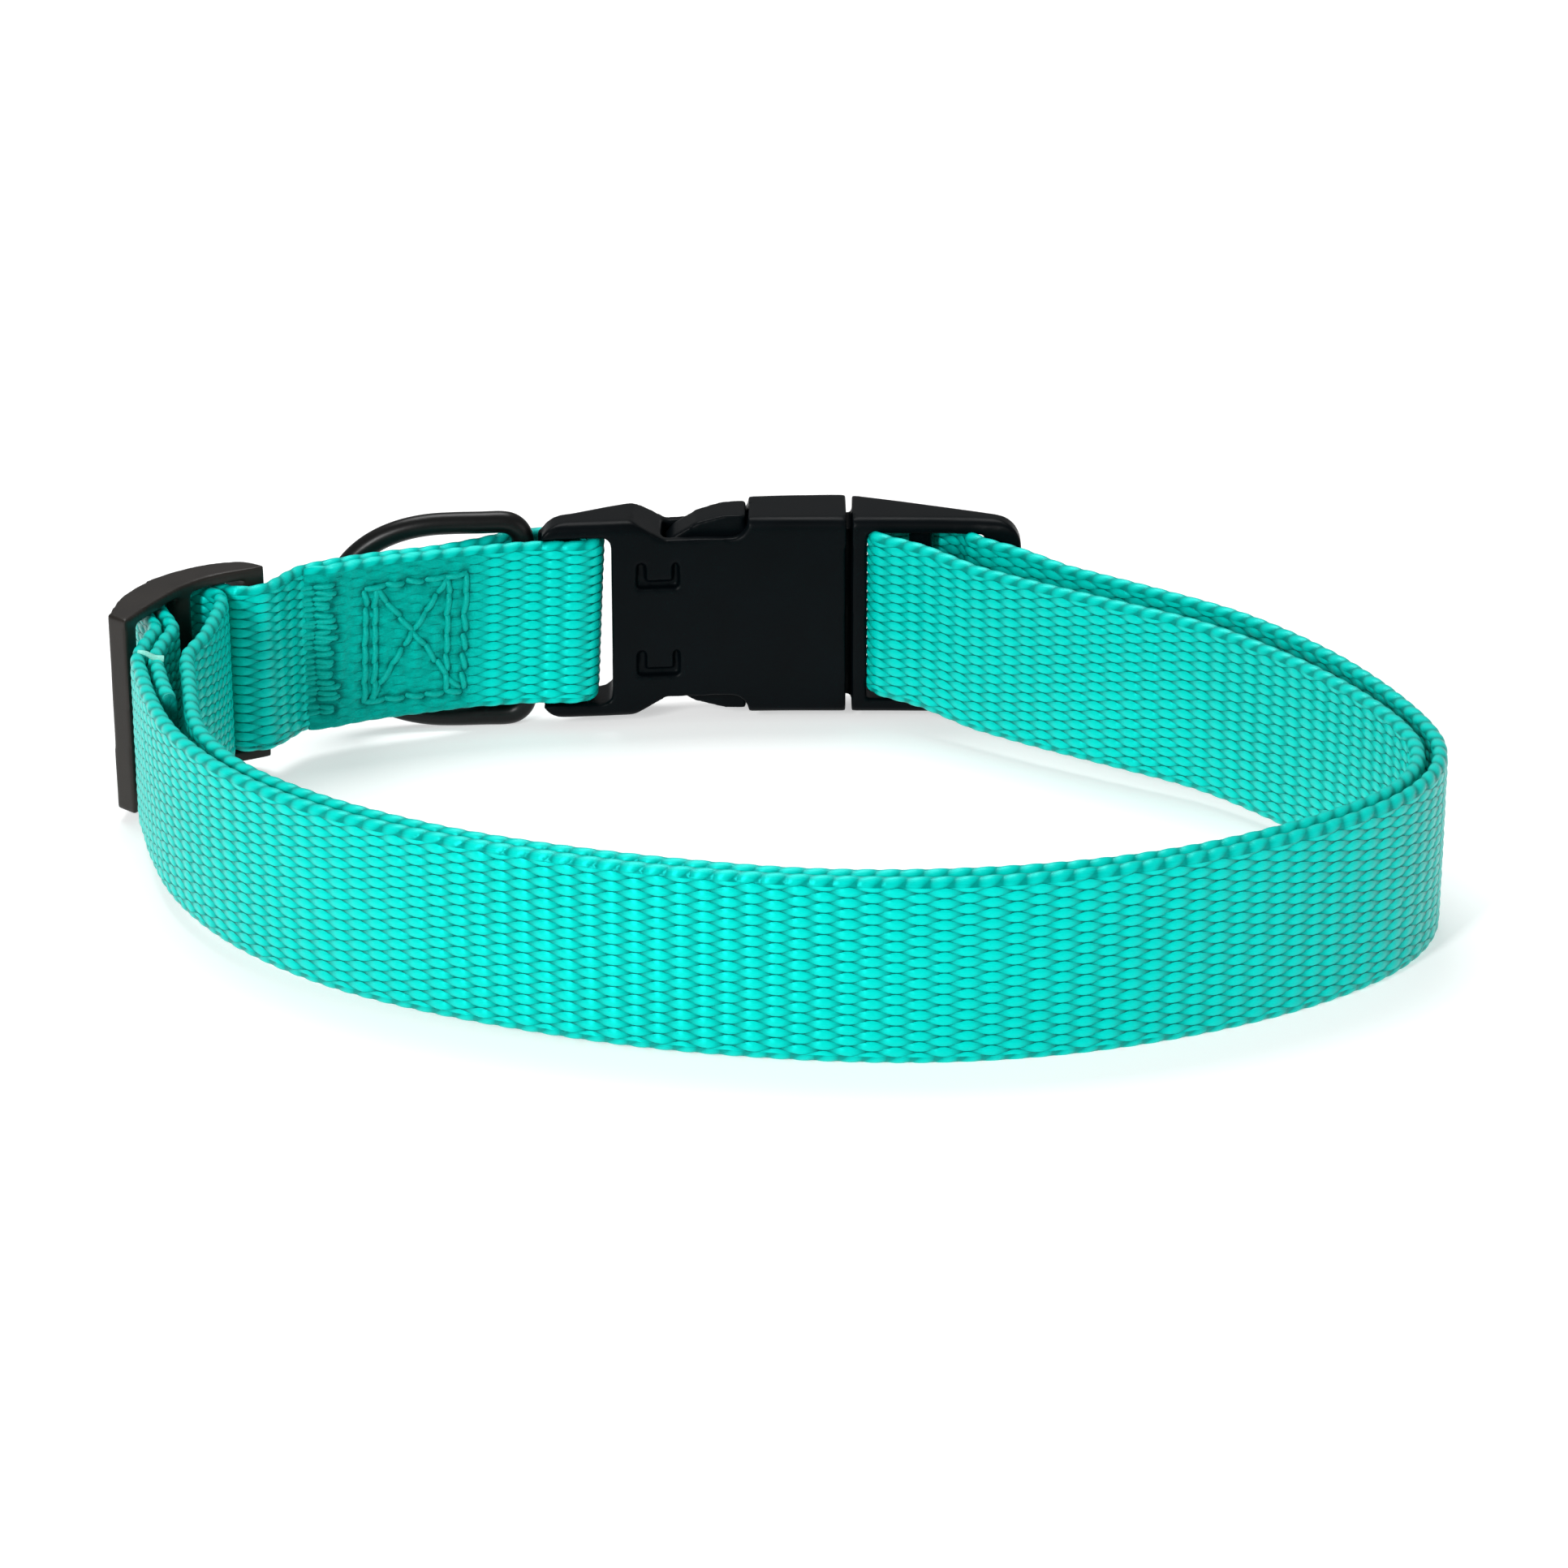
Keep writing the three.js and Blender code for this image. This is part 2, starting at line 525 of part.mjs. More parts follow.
function plugBody() {
  const plugEnd = plugX + PLUG_LENGTH;
  const outline = [
    [plugX, buckleHalf],
    ...arcPoints(plugEnd - BUCKLE_CORNER, buckleHalf - BUCKLE_CORNER, BUCKLE_CORNER, 90, 0, 6),
  ];
  const low = midZ - buckleHalf - CUT_OVERRUN;
  const high = midZ + buckleHalf + CUT_OVERRUN;
  const rail = roundedRail(plugX, plugEnd, buckleInner, buckleOuter, midZ - buckleHalf, midZ + buckleHalf, RAIL_ROUND, 14);
  let body = rail.intersect(frontCut(mirrored(outline)));
  body = body.subtract(block(plugSlotX, plugSlotEnd, 0, LOOP_DEPTH, midZ - openHalf, midZ + openHalf));
  body = body.add(roundedBar(
    plugBar.x0,
    plugBar.x1,
    plugBar.y0,
    plugBar.y1,
    PLUG_BAR_THICK * 0.35,
    midZ - openHalf - BAR_ROOT,
    midZ + openHalf + BAR_ROOT,
  ));
  const innerGap = (x) => buckleInner(x) + BUCKLE_WALL + FIT_GAP;
  const outerGap = (x) => buckleOuter(x) - BUCKLE_WALL - FIT_GAP;
  const armTip = cavityX + FIT_GAP;
  const armLine = cavityHalf - FIT_GAP;
  const latch = windowEnd - FIT_GAP;
  const bulge = buckleHalf - ARM_SINK;
  const reach = latch - armTip;
  const rooted = plugX + CUT_OVERRUN;
  const armOutline = [
    [rooted, armLine], [latch, armLine], [latch, bulge],
    [latch - 0.28 * reach, bulge - 0.003 * BUCKLE_HEIGHT], [latch - 0.6 * reach, bulge - 0.036 * BUCKLE_HEIGHT],
    [latch - 0.88 * reach, bulge - 0.097 * BUCKLE_HEIGHT], [armTip, bulge - 0.149 * BUCKLE_HEIGHT],
    [armTip + 0.1 * reach, bulge - 0.182 * BUCKLE_HEIGHT], [latch - 0.3 * reach, armLine - 0.78 * ARM_THICK],
    [latch + CUT_OVERRUN, armLine - ARM_THICK], [rooted, armLine - 1.3 * ARM_THICK],
  ];
  const band = slab(armTip, rooted, innerGap, outerGap, low, high, 10);
  const collarX = plugX - BUCKLE_GROOVE - COLLAR_DEPTH;
  body = body.add(slab(collarX, rooted, innerGap, outerGap, midZ - armLine, midZ + armLine, 2));
  [-1, 1].forEach((side) => {
    const arm = frontCut(armOutline.map(([x, h]) => v2(x, midZ + side * h)));
    body = body.add(band.intersect(arm));
  });
  const tongueTip = plugX - 0.42 * SOCKET_LENGTH;
  const tongueHalf = TONGUE_HEIGHT / 2;
  const tongue = frontCut([
    v2(rooted, midZ - tongueHalf), v2(rooted, midZ + tongueHalf),
    v2(tongueTip + TONGUE_BEVEL, midZ + tongueHalf), v2(tongueTip, midZ + tongueHalf - TONGUE_BEVEL),
    v2(tongueTip, midZ - tongueHalf + TONGUE_BEVEL), v2(tongueTip + TONGUE_BEVEL, midZ - tongueHalf),
  ]);
  return body.add(band.intersect(tongue));
}

function slideBody() {
  const upper = SLIDE_OUTER.map(([s, n]) => onSlide(s * SLIDE_LENGTH, n * SLIDE_ARCH));
  const lower = SLIDE_INNER.map(([s, n]) => onSlide(s * SLIDE_LENGTH, n * SLIDE_ARCH)).reverse();
  const frame = extruded([...upper, ...lower], SLIDE_HEIGHT);
  frame.translate(0, 0, midZ - SLIDE_HEIGHT / 2);
  let body = solid(frame);
  const cut = extruded([
    onSlide(nearBarEdge, -SLIDE_LENGTH), onSlide(farBarEdge, -SLIDE_LENGTH),
    onSlide(farBarEdge, SLIDE_LENGTH), onSlide(nearBarEdge, SLIDE_LENGTH),
  ], openHalf * 2);
  cut.translate(0, 0, midZ - openHalf);
  body = body.subtract(solid(cut));
  const r = SLIDE_BAR_THICK * 0.35;
  const bar = roundedBar(centreBar.s0, centreBar.s1, centreBar.n0, centreBar.n1, r, midZ - openHalf - BAR_ROOT, midZ + openHalf + BAR_ROOT);
  const placed = bar.rotate([0, 0, SLIDE_TURN]).translate([slideCentre.x, slideCentre.y, 0]);
  return body.add(placed);
}

// Wire path of the D-ring: its straight bar is the hinge, the bow reaches out along -X.
function ringGeometry() {
  const top = (RING_HEIGHT - RING_WIRE) / 2;
  const depth = RING_DEPTH - RING_WIRE;
  const armEnd = 0.36 * depth;
  const upper = arcPoints(RING_CORNER, top - RING_CORNER, RING_CORNER, 180, 90, 4);
  const bow = [];
  for (let i = 1; i <= 12; i += 1) {
    const a = (90 * i * DEGREE) / 12;
    const power = 2 / 2.25;
    bow.push([armEnd + (depth - armEnd) * Math.pow(Math.sin(a), power), top * Math.pow(Math.cos(a), power)]);
  }
  bow[bow.length - 1][1] = 0;
  const right = [[0, 0.4 * top], ...upper, [armEnd * 0.6, top], [armEnd, top], ...bow];
  const left = right.slice(0, -1).map(([d, z]) => [d, -z]).reverse();
  const turn = degreesVector(180 + RING_TURN);
  const points = [...right, ...left].map(([d, z]) => new THREE.Vector3(ringBar.x + turn.x * d, ringBar.y + turn.y * d, midZ - LAYER_GAP + z));
  const path = new THREE.CatmullRomCurve3(points, true, 'centripetal');
  return new THREE.TubeGeometry(path, 84, RING_WIRE / 2, 12, true);
}

const pieces = [
  { name: 'strap', geometry: strapGeometry(), color: 0x00c8b4, roughness: 0.55, metalness: 0 },
  { name: 'buckle_socket', geometry: geometryOf(socketBody()), color: 0x15181b, roughness: 0.45, metalness: 0 },
  { name: 'buckle_plug', geometry: geometryOf(plugBody()), color: 0x15181b, roughness: 0.45, metalness: 0 },
  { name: 'slide', geometry: geometryOf(slideBody()), color: 0x191a1b, roughness: 0.45, metalness: 0 },
  { name: 'd_ring', geometry: ringGeometry(), color: 0x0e0f10, roughness: 0.35, metalness: 0.6 },
];

// Lean the whole collar as it stands, then put the middle of its footprint at the origin.
const lean = new THREE.Matrix4().makeRotationX(LEAN_BACK * DEGREE)
  .multiply(new THREE.Matrix4().makeRotationY(LEAN_SIDE * DEGREE));
const box = new THREE.Box3();
pieces.forEach((piece) => {
  piece.geometry.deleteAttribute('uv');
  piece.geometry.deleteAttribute('normal');
  piece.geometry = mergeVertices(piece.geometry, 1e-4);
  piece.geometry.applyMatrix4(lean);
  piece.geometry.computeBoundingBox();
  box.union(piece.geometry.boundingBox);
});
export const shift = new THREE.Vector3(-(box.min.x + box.max.x) / 2, -(box.min.y + box.max.y) / 2, -box.min.z);
export const hinge = new THREE.Vector3(ringBar.x, ringBar.y, midZ).applyMatrix4(lean).add(shift);

const group = new THREE.Group();
group.name = 'dog_collar';
pieces.forEach((piece) => {
  piece.geometry.translate(shift.x, shift.y, shift.z);
  piece.geometry.computeVertexNormals();
  const material = new THREE.MeshStandardMaterial({
    color: piece.color,
    roughness: piece.roughness,
    metalness: piece.metalness,
  });
  const mesh = new THREE.Mesh(piece.geometry, material);
  mesh.name = piece.name;
  group.add(mesh);
});

export default group;
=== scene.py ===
import math

import bpy
import numpy as np
from mathutils import Matrix, Vector


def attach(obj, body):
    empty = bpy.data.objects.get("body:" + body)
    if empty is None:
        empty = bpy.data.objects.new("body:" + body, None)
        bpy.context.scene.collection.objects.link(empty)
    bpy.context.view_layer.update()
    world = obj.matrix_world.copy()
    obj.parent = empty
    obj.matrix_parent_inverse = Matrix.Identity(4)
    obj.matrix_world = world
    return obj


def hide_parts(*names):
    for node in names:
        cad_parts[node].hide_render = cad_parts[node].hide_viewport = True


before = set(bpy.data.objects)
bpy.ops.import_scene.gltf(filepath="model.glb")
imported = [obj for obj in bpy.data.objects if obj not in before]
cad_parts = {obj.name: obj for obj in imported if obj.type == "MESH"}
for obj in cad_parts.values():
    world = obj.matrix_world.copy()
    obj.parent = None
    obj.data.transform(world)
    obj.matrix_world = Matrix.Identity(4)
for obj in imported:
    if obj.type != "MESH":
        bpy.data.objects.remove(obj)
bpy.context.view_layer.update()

# Dog collar of turquoise webbing with a black side-release buckle, a slide and a D-ring.
# Shapes are worked out in the collar's own upright frame in millimetres, as the CAD source does,
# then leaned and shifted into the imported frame, in metres.

MM = 0.001
LEAN_BACK = 1.72
LEAN_SIDE = 0.62
SHIFT = np.array([3.355915, 22.934362, 3.117429])
TINY = 1e-4

# Webbing as packed
STRAP_WIDTH = 25.0
STRAP_THICKNESS = 2.0
WELD_STEPS = 100
LOWER_FACE = 1.0
FINE = 0.1
LINE_SPREAD = 5.0
TANGENT_SPREAD = 4.0
SPLINE_STEPS = 12

# Webbing as woven: pointed floats on both faces and slanted beads along the selvedges
CORE_HALF = 0.80
RELIEF = 0.27
EDGE_ROUND = 0.84
COLUMN = 3.0
FACE_ROWS = 16
ALONG_STEPS = 6
ROW_STEPS = 4
EDGE_STEPS = 9
FLOATS = ((0.5, 0.5), (1.5, 1.0))
LENS_HALF = 0.82
TIP_POWER = 1.6
TIP_FALL = 0.75
LENS_WOBBLE = 0.10
LENS_UNEVEN = 0.15
BEAD_HALF = 0.60
BEAD_REACH = 1.9
BEAD_SLANT = 0.24
BEAD_FALL = 0.8
BEAD_RISE = 1.1
UNDER_REACH = 2.7
UNDER_LEVEL = 0.35
DRIFTS = ((0.06, 17.0, 0.0), (0.05, 7.3, 1.0))
CUTS = (0, 130, 330, 520, 720)

# Sewn end of the strap: the folded tail tapers under a zigzag, and a crossed box holds it down
TAPER = 3.5
TAPER_LEFT = 0.06
TAIL_PRESS = 0.5
SEWN_END = 29.0
SEWN_FADE = 3.0
SEWN_FLATTENS = 0.80
TAIL_ARC = 45
STITCH = 3.0
STITCH_GAP = 0.06
STITCH_SWAY = 0.55
THREAD = 0.47
BOX_ACROSS = (-9.3, 8.3)
BOX_ROWS = (
    (-61.3, (0.0, 0.0), (-0.8, 0.0)),
    (-59.9, (0.0, 0.0), (-0.8, 0.0)),
    (-49.4, (0.0, 0.4), (-0.5, 0.0)),
    (-46.9, (0.0, 0.5), (-0.3, -0.2)),
)
CROSS_FOOT = -1.0
ZIGZAG_THREAD = 0.45
ZIGZAG_ACROSS = (-10.8, 9.9)
ZIGZAG_STEP = 0.88
ZIGZAG_LEFT = (-1.9, 0.8)
ZIGZAG_MIDDLE = (1.0, 0.7)
ZIGZAG_RIGHT = (3.0, 1.2)
ZIGZAG_SWAY = 0.5
STITCH_SUNK = 0.24
STITCH_ARCH = 0.06
STITCH_DIVE = 0.50
STITCH_POINTS = 7
TAIL_PROBE = 0.4
DENT_DEPTH = 0.42
DENT_SPREAD = 0.50
PUCKER = 0.13
PUCKER_WAVES = ((1.9, 0.9), (1.3, 0.7))
INNER_FACE = -0.9
SEWN_RELIEF = 0.7
CUT_RINGS = ((1.0, 0.0), (0.9, 0.12), (0.6, 0.2), (0.02, 0.16))
CUT_FRAY, CUT_FRAY_WAVE = 0.08, 2.4

# Loose threads: where each starts, the steps it wanders off by, and its radius
FRAYED = ((-85.9, -15.3, 25.0), ((-1.2, -0.3, 0.3), (-1.1, -0.3, 0.9), (-1.1, 0.0, 0.2)), 0.55)
STRAY = ((-80.9, -38.7, 21.2), ((0.1, -0.1, 0.8), (0.0, -0.1, 0.8)), 0.12)

# Colour of the webbing, from painted shade in the gaps of its weave and at the floats' tips to painted
# highlight on its crowns, and the painted shade it is multiplied by where sewn
WEAVE_SHADE_AND_HIGHLIGHT = (
    (0.0, (0.0, 0.14, 0.12)),
    (0.30, (0.0, 0.25, 0.21)),
    (0.62, (0.0, 0.42, 0.355)),
    (0.92, (0.0, 0.60, 0.515)),
)
# Painted shade: the sewn tail's face is painted darker
SEWN_PAINTED_SHADE = (1.0, 0.70, 0.69, 1)
SEWN_COLUMNS = 1.6
SEWN_LEVEL = 0.72
SEWN_EVENS = 0.85
SEWN_ROUGHER = 0.2
SEWN_KEEPS = 0.8
BEND_SHARE = 0.6
LEVEL_SHARE = 0.4
THREAD_SHARE = 0.30
CLOUD_SHARE = 0.15
MOTTLE_SHARE = 0.9

# At the socket the fold of the strap sits a little askew on its bar
SKEW = 0.048
SKEW_SHIFT = -0.3
SKEW_FROM = -56.0
SKEW_RUN = 12.0
FOLD_ARC = 110

# At the plug the fold lies against the slot's left edge, and a little high behind it
PLUG_LEFT = 12.3
PLUG_SHIFT = -0.45
PLUG_BEFORE, PLUG_BEFORE_RUN = 6.0, 5.0
PLUG_AFTER, PLUG_AFTER_RUN = 5.0, 4.0
PLUG_BACK = 20
PLUG_LIFT = 0.9
LIFT_FROM = (8.0, 22.0)
LIFT_RUN = (4.0, 6.0)

# Hard pieces
FINE_VOXEL = 0.32
EASING = 8
WELD_DISTANCE = 0.001

# D-ring
RING_WIRE = 3.3
RING_HEIGHT = 33.6
RING_DEPTH = 32.0
RING_CORNER = 3.0
RING_TURN = 4.0
RING_BAR = (-38.556, 35.074)
RING_Z = 12.2
RING_ARM = 0.36
RING_BAR_POINT = 0.4
RING_ARM_POINT = 0.6
RING_BOW_POWER = 2 / 2.25
RING_COUNT = 260
RING_SIDES = 28
RING_SPLINE_STEPS = 24

# Floor, light and camera; the camera stands in the collar's own frame
FLOOR_REACH = 4.0
FLOOR_SHADE = 0.62
FLOOR_GLOW = 0.52
WORLD_GLOW = 0.28
CAMERA_PITCH = 22.5
CAMERA_DISTANCE = 720.0
LIGHTS = (
    ("overhead", (-0.10, 0.40, 0.95), (0, 0, 0), (0.55, 0.45), 7.2),
    ("key_left", (-0.46, -0.84, 0.42), (0, 0, 0.01), (0.14, 0.32), 8.2),
    ("fill_right", (0.85, -0.45, 0.35), (0, 0, 0.01), (0.6, 0.5), 1.2),
)
LENS_MM = 115.55
SENSOR_MM = 36.0
CLIP = (0.01, 20.0)


def turn_x(degrees):
    c, s = math.cos(math.radians(degrees)), math.sin(math.radians(degrees))
    return np.array([[1, 0, 0], [0, c, -s], [0, s, c]])


def turn_y(degrees):
    c, s = math.cos(math.radians(degrees)), math.sin(math.radians(degrees))
    return np.array([[c, 0, s], [0, 1, 0], [-s, 0, c]])


LEAN = turn_x(LEAN_BACK) @ turn_y(LEAN_SIDE)


def to_world(points):
    return (np.asarray(points, float) @ LEAN.T + SHIFT) * MM


def to_collar(points):
    return (np.asarray(points, float) / MM - SHIFT) @ LEAN


def hashed(*values):
    """A steady number from 0 to 1 for each set of whole numbers."""
    total = np.zeros(np.broadcast(*values).shape)
    for k, value in enumerate(values):
        total = total + np.asarray(value, float) * (12.9898 + 65.2213 * k)
    return np.mod(np.sin(total) * 43758.5453, 1.0)


def arc_lengths(points):
    return np.concatenate([[0], np.cumsum(np.linalg.norm(np.diff(points, axis=0), axis=1))])


def eased_step(value, start, run):
    """0 before start, 1 after start plus run, even in between."""
    return np.clip((value - start) / run, 0, 1)


# Meshes


def mesh_object(name, points, faces, material, uv=None, normals=None, dent_painted_shade=None):
    """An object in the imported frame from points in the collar's own frame."""
    mesh = bpy.data.meshes.new(name)
    world = to_world(points).astype(np.float32)
    faces = np.asarray(faces, np.int32)
    size = faces.shape[1]
    mesh.vertices.add(len(world))
    mesh.vertices.foreach_set("co", world.ravel())
    mesh.loops.add(faces.size)
    mesh.loops.foreach_set("vertex_index", faces.ravel())
    mesh.polygons.add(len(faces))
    mesh.polygons.foreach_set("loop_start", np.arange(0, faces.size, size, dtype=np.int32))
    mesh.update(calc_edges=True)
    if uv is not None:
        layer = mesh.uv_layers.new(name="weave")
        layer.data.foreach_set("uv", np.asarray(uv, np.float32)[faces.ravel()].ravel())
    # Painted shade for the stitch dents, kept as a colour attribute
    if dent_painted_shade is not None:
        shades = mesh.color_attributes.new("dent_painted_shade", "FLOAT_COLOR", "POINT")
        shades.data.foreach_set("color", np.repeat(dent_painted_shade.astype(np.float32), 4))
    mesh.validate()
    mesh.polygons.foreach_set("use_smooth", np.ones(len(mesh.polygons), bool))
    if normals is not None:
        mesh.normals_split_custom_set_from_vertices((normals @ LEAN.T).tolist())
    mesh.materials.append(material)
    obj = bpy.data.objects.new(name, mesh)
    bpy.context.scene.collection.objects.link(obj)
    return obj


def add_piece(obj, node_name, body):
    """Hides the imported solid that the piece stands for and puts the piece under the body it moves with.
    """
    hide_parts(node_name)
    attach(obj, body)


def grid_faces(rows, columns):
    """Quads of a grid whose last column joins the first."""
    i = np.arange(rows - 1)[:, None]
    j = np.arange(columns)[None, :]
    k = (j + 1) % columns
    a = i * columns + j
    b = i * columns + k
    c = (i + 1) * columns + k
    d = (i + 1) * columns + j
    return np.stack([a, b, c, d], -1).reshape(-1, 4)


def tubes(name, paths, radii, material, sides=7):
    """Many round threads as one piece; each path is a list of points in the collar's own frame."""
    all_points, all_faces, start = [], [], 0
    for path, radius in zip(paths, radii):
        t = np.gradient(path, axis=0)
        t /= np.linalg.norm(t, axis=1)[:, None] + 1e-9
        upright = abs(t[0][2]) > 0.7
        guide = np.array([0.31, 0.87, 0.38]) if upright else np.array([0.0, 0.1, 1.0])
        a = np.cross(t, guide)
        a /= np.linalg.norm(a, axis=1)[:, None]
        b = np.cross(t, a)
        angle = np.linspace(0, 2 * math.pi, sides, endpoint=False)
        r = np.asarray(radius, float) * np.ones(len(path))
        ring = path[:, None] + r[:, None, None] * (
            np.cos(angle)[None, :, None] * a[:, None] + np.sin(angle)[None, :, None] * b[:, None]
        )
        all_points.append(ring.reshape(-1, 3))
        all_faces.append(grid_faces(len(path), sides) + start)
        start += len(path) * sides
    obj = mesh_object(name, np.concatenate(all_points), np.concatenate(all_faces), material)
    add_piece(obj, "strap", "collar")


# Curves


def spline_span(p0, p1, p2, p3, count):
    """Points on a centripetal spline from p1 up to, but without, p2."""
    t = [0.0]
    for a, b in ((p0, p1), (p1, p2), (p2, p3)):
        t.append(t[-1] + max(1e-6, np.linalg.norm(b - a)) ** 0.5)
    u = np.linspace(t[1], t[2], count, endpoint=False)[:, None]
    a1 = (t[1] - u) / (t[1] - t[0]) * p0 + (u - t[0]) / (t[1] - t[0]) * p1
    a2 = (t[2] - u) / (t[2] - t[1]) * p1 + (u - t[1]) / (t[2] - t[1]) * p2
    a3 = (t[3] - u) / (t[3] - t[2]) * p2 + (u - t[2]) / (t[3] - t[2]) * p3
    b1 = (t[2] - u) / (t[2] - t[0]) * a1 + (u - t[0]) / (t[2] - t[0]) * a2
    b2 = (t[3] - u) / (t[3] - t[1]) * a2 + (u - t[1]) / (t[3] - t[1]) * a3
    return (t[2] - u) / (t[2] - t[1]) * b1 + (u - t[1]) / (t[2] - t[1]) * b2


def open_curve(points, step):
    """Centripetal spline through the points, sampled evenly."""
    p = np.vstack([2 * points[0] - points[1], points, 2 * points[-1] - points[-2]])
    spans = [spline_span(p[i - 1], p[i], p[i + 1], p[i + 2], SPLINE_STEPS) for i in range(1, len(p) - 2)]
    curve = np.vstack(spans + [points[-1:]])
    run = arc_lengths(curve)
    even = np.arange(0, run[-1], step)
    return np.stack([np.interp(even, run, curve[:, 0]), np.interp(even, run, curve[:, 1])], 1)


def closed_curve(points, count):
    """Centripetal closed spline, sampled evenly."""
    n = len(points)
    spans = []
    for i in range(n):
        around = points[i - 1], points[i], points[(i + 1) % n], points[(i + 2) % n]
        spans.append(spline_span(*around, RING_SPLINE_STEPS))
    loop = np.vstack(spans)
    closed = np.vstack([loop, loop[:1]])
    run = arc_lengths(closed)
    even = np.linspace(0, run[-1], count, endpoint=False)
    return np.stack([np.interp(even, run, closed[:, k]) for k in range(3)], 1)


def smoothed(values, sigma):
    """Each column of values, blurred along its length, with its ends kept in place."""
    reach = int(4 * sigma)
    x = np.arange(-reach, reach + 1)
    w = np.exp(-0.5 * (x / sigma) ** 2)
    w /= w.sum()
    out = np.empty_like(values)
    for k in range(values.shape[1]):
        v = values[:, k]
        padded = np.concatenate([2 * v[0] - v[reach:0:-1], v, 2 * v[-1] - v[-2:-reach - 2:-1]])
        out[:, k] = np.convolve(padded, w, "valid")
    return out


# The strap's middle line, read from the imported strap


def welded_mesh(node):
    """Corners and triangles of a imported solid, with equal corners joined."""
    mesh = node.data
    points = np.empty(len(mesh.vertices) * 3)
    mesh.vertices.foreach_get("co", points)
    points = to_collar(points.reshape(-1, 3))
    mesh.calc_loop_triangles()
    triangles = np.empty(len(mesh.loop_triangles) * 3, np.int32)
    mesh.loop_triangles.foreach_get("vertices", triangles)
    grid = np.round(points * WELD_STEPS).astype(int)
    keys, inverse = np.unique(grid, axis=0, return_inverse=True)
    inverse = inverse.reshape(-1)
    corners = np.zeros((len(keys), 3))
    corners[inverse] = points
    return corners, inverse[triangles.reshape(-1, 3)]


def lower_outline(corners, triangles):
    """The outline of the strap's lower face, in order."""
    low = triangles[(corners[triangles][:, :, 2] < LOWER_FACE).all(1)]
    edges = {}
    for a, b, c in low:
        for pair in ((a, b), (b, c), (c, a)):
            key = (min(pair), max(pair))
            edges[key] = edges.get(key, 0) + 1
    following = {}
    for (a, b), count in edges.items():
        if count == 1:
            following.setdefault(a, []).append(b)
            following.setdefault(b, []).append(a)
    start = next(iter(following))
    ring = [start]
    before, here = None, start
    while True:
        step = [n for n in following[here] if n != before][0]
        if step == start:
            break
        ring.append(step)
        before, here = here, step
    return corners[ring][:, :2]


def strap_middle(node):
    """Points halfway between the two sides of the strap's outline, from its sewn end on."""
    outline = lower_outline(*welded_mesh(node))
    count = len(outline)
    k = np.arange(count // 2)
    best = None
    for s in range(count):
        one = outline[(s + k) % count]
        other = outline[(s - 1 - k) % count]
        spread = np.abs(np.linalg.norm(one - other, axis=1) - STRAP_THICKNESS).max()
        if best is None or spread < best[0]:
            best = (spread, (one + other) / 2)
    middle = best[1]
    if middle[0][0] > middle[-1][0] and middle[0][1] < middle[-1][1]:
        middle = middle[::-1]
    return middle


def line_normals(points):
    """Left normals of the strap's middle line."""
    tangent = np.gradient(points, axis=0)
    tangent /= np.linalg.norm(tangent, axis=1)[:, None]
    tangent = smoothed(tangent, TANGENT_SPREAD)
    tangent /= np.linalg.norm(tangent, axis=1)[:, None]
    return np.stack([-tangent[:, 1], tangent[:, 0]], 1)


line = smoothed(open_curve(strap_middle(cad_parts["strap"]), FINE), LINE_SPREAD)
arc = arc_lengths(line)
normal = line_normals(line)
LENGTH = arc[-1]


def along(s):
    """Point and left normal of the strap's middle line at arc length s."""
    x = np.interp(s, arc, line[:, 0])
    y = np.interp(s, arc, line[:, 1])
    nx = np.interp(s, arc, normal[:, 0])
    ny = np.interp(s, arc, normal[:, 1])
    return np.stack([x, y], -1), np.stack([nx, ny], -1)


def on_strap(s, across, out):
    """A point of the strap: across is the height from its middle, out the distance to the left face."""
    p, n = along(s)
    x, y = p[..., 0], p[..., 1]
    near = eased_step(x, SKEW_FROM, SKEW_RUN) * (np.asarray(s) < FOLD_ARC)
    askew = near * near * (3 - 2 * near) * (SKEW * across + SKEW_SHIFT)
    before_end = np.clip((PLUG_LEFT + PLUG_AFTER - x) / PLUG_AFTER_RUN, 0, 1)
    at_plug = before_end * np.clip((x - PLUG_LEFT + PLUG_BEFORE) / PLUG_BEFORE_RUN, 0, 1)
    askew = askew + PLUG_SHIFT * at_plug * (y > PLUG_BACK) * (np.asarray(s) > FOLD_ARC)
    lifted = eased_step(y, LIFT_FROM[1], LIFT_RUN[1]) * eased_step(x, LIFT_FROM[0], LIFT_RUN[0])
    z = STRAP_WIDTH / 2 + across + PLUG_LIFT * lifted
    return np.stack([x + n[..., 0] * out + askew, y + n[..., 1] * out, z + 0 * x], -1)


# Woven surface: pointed floats in staggered columns, round the whole cross-section


FLAT = STRAP_WIDTH - 2 * EDGE_ROUND
EDGE = math.pi * EDGE_ROUND
ROW = FLAT / FACE_ROWS
SIDE = FLAT + EDGE


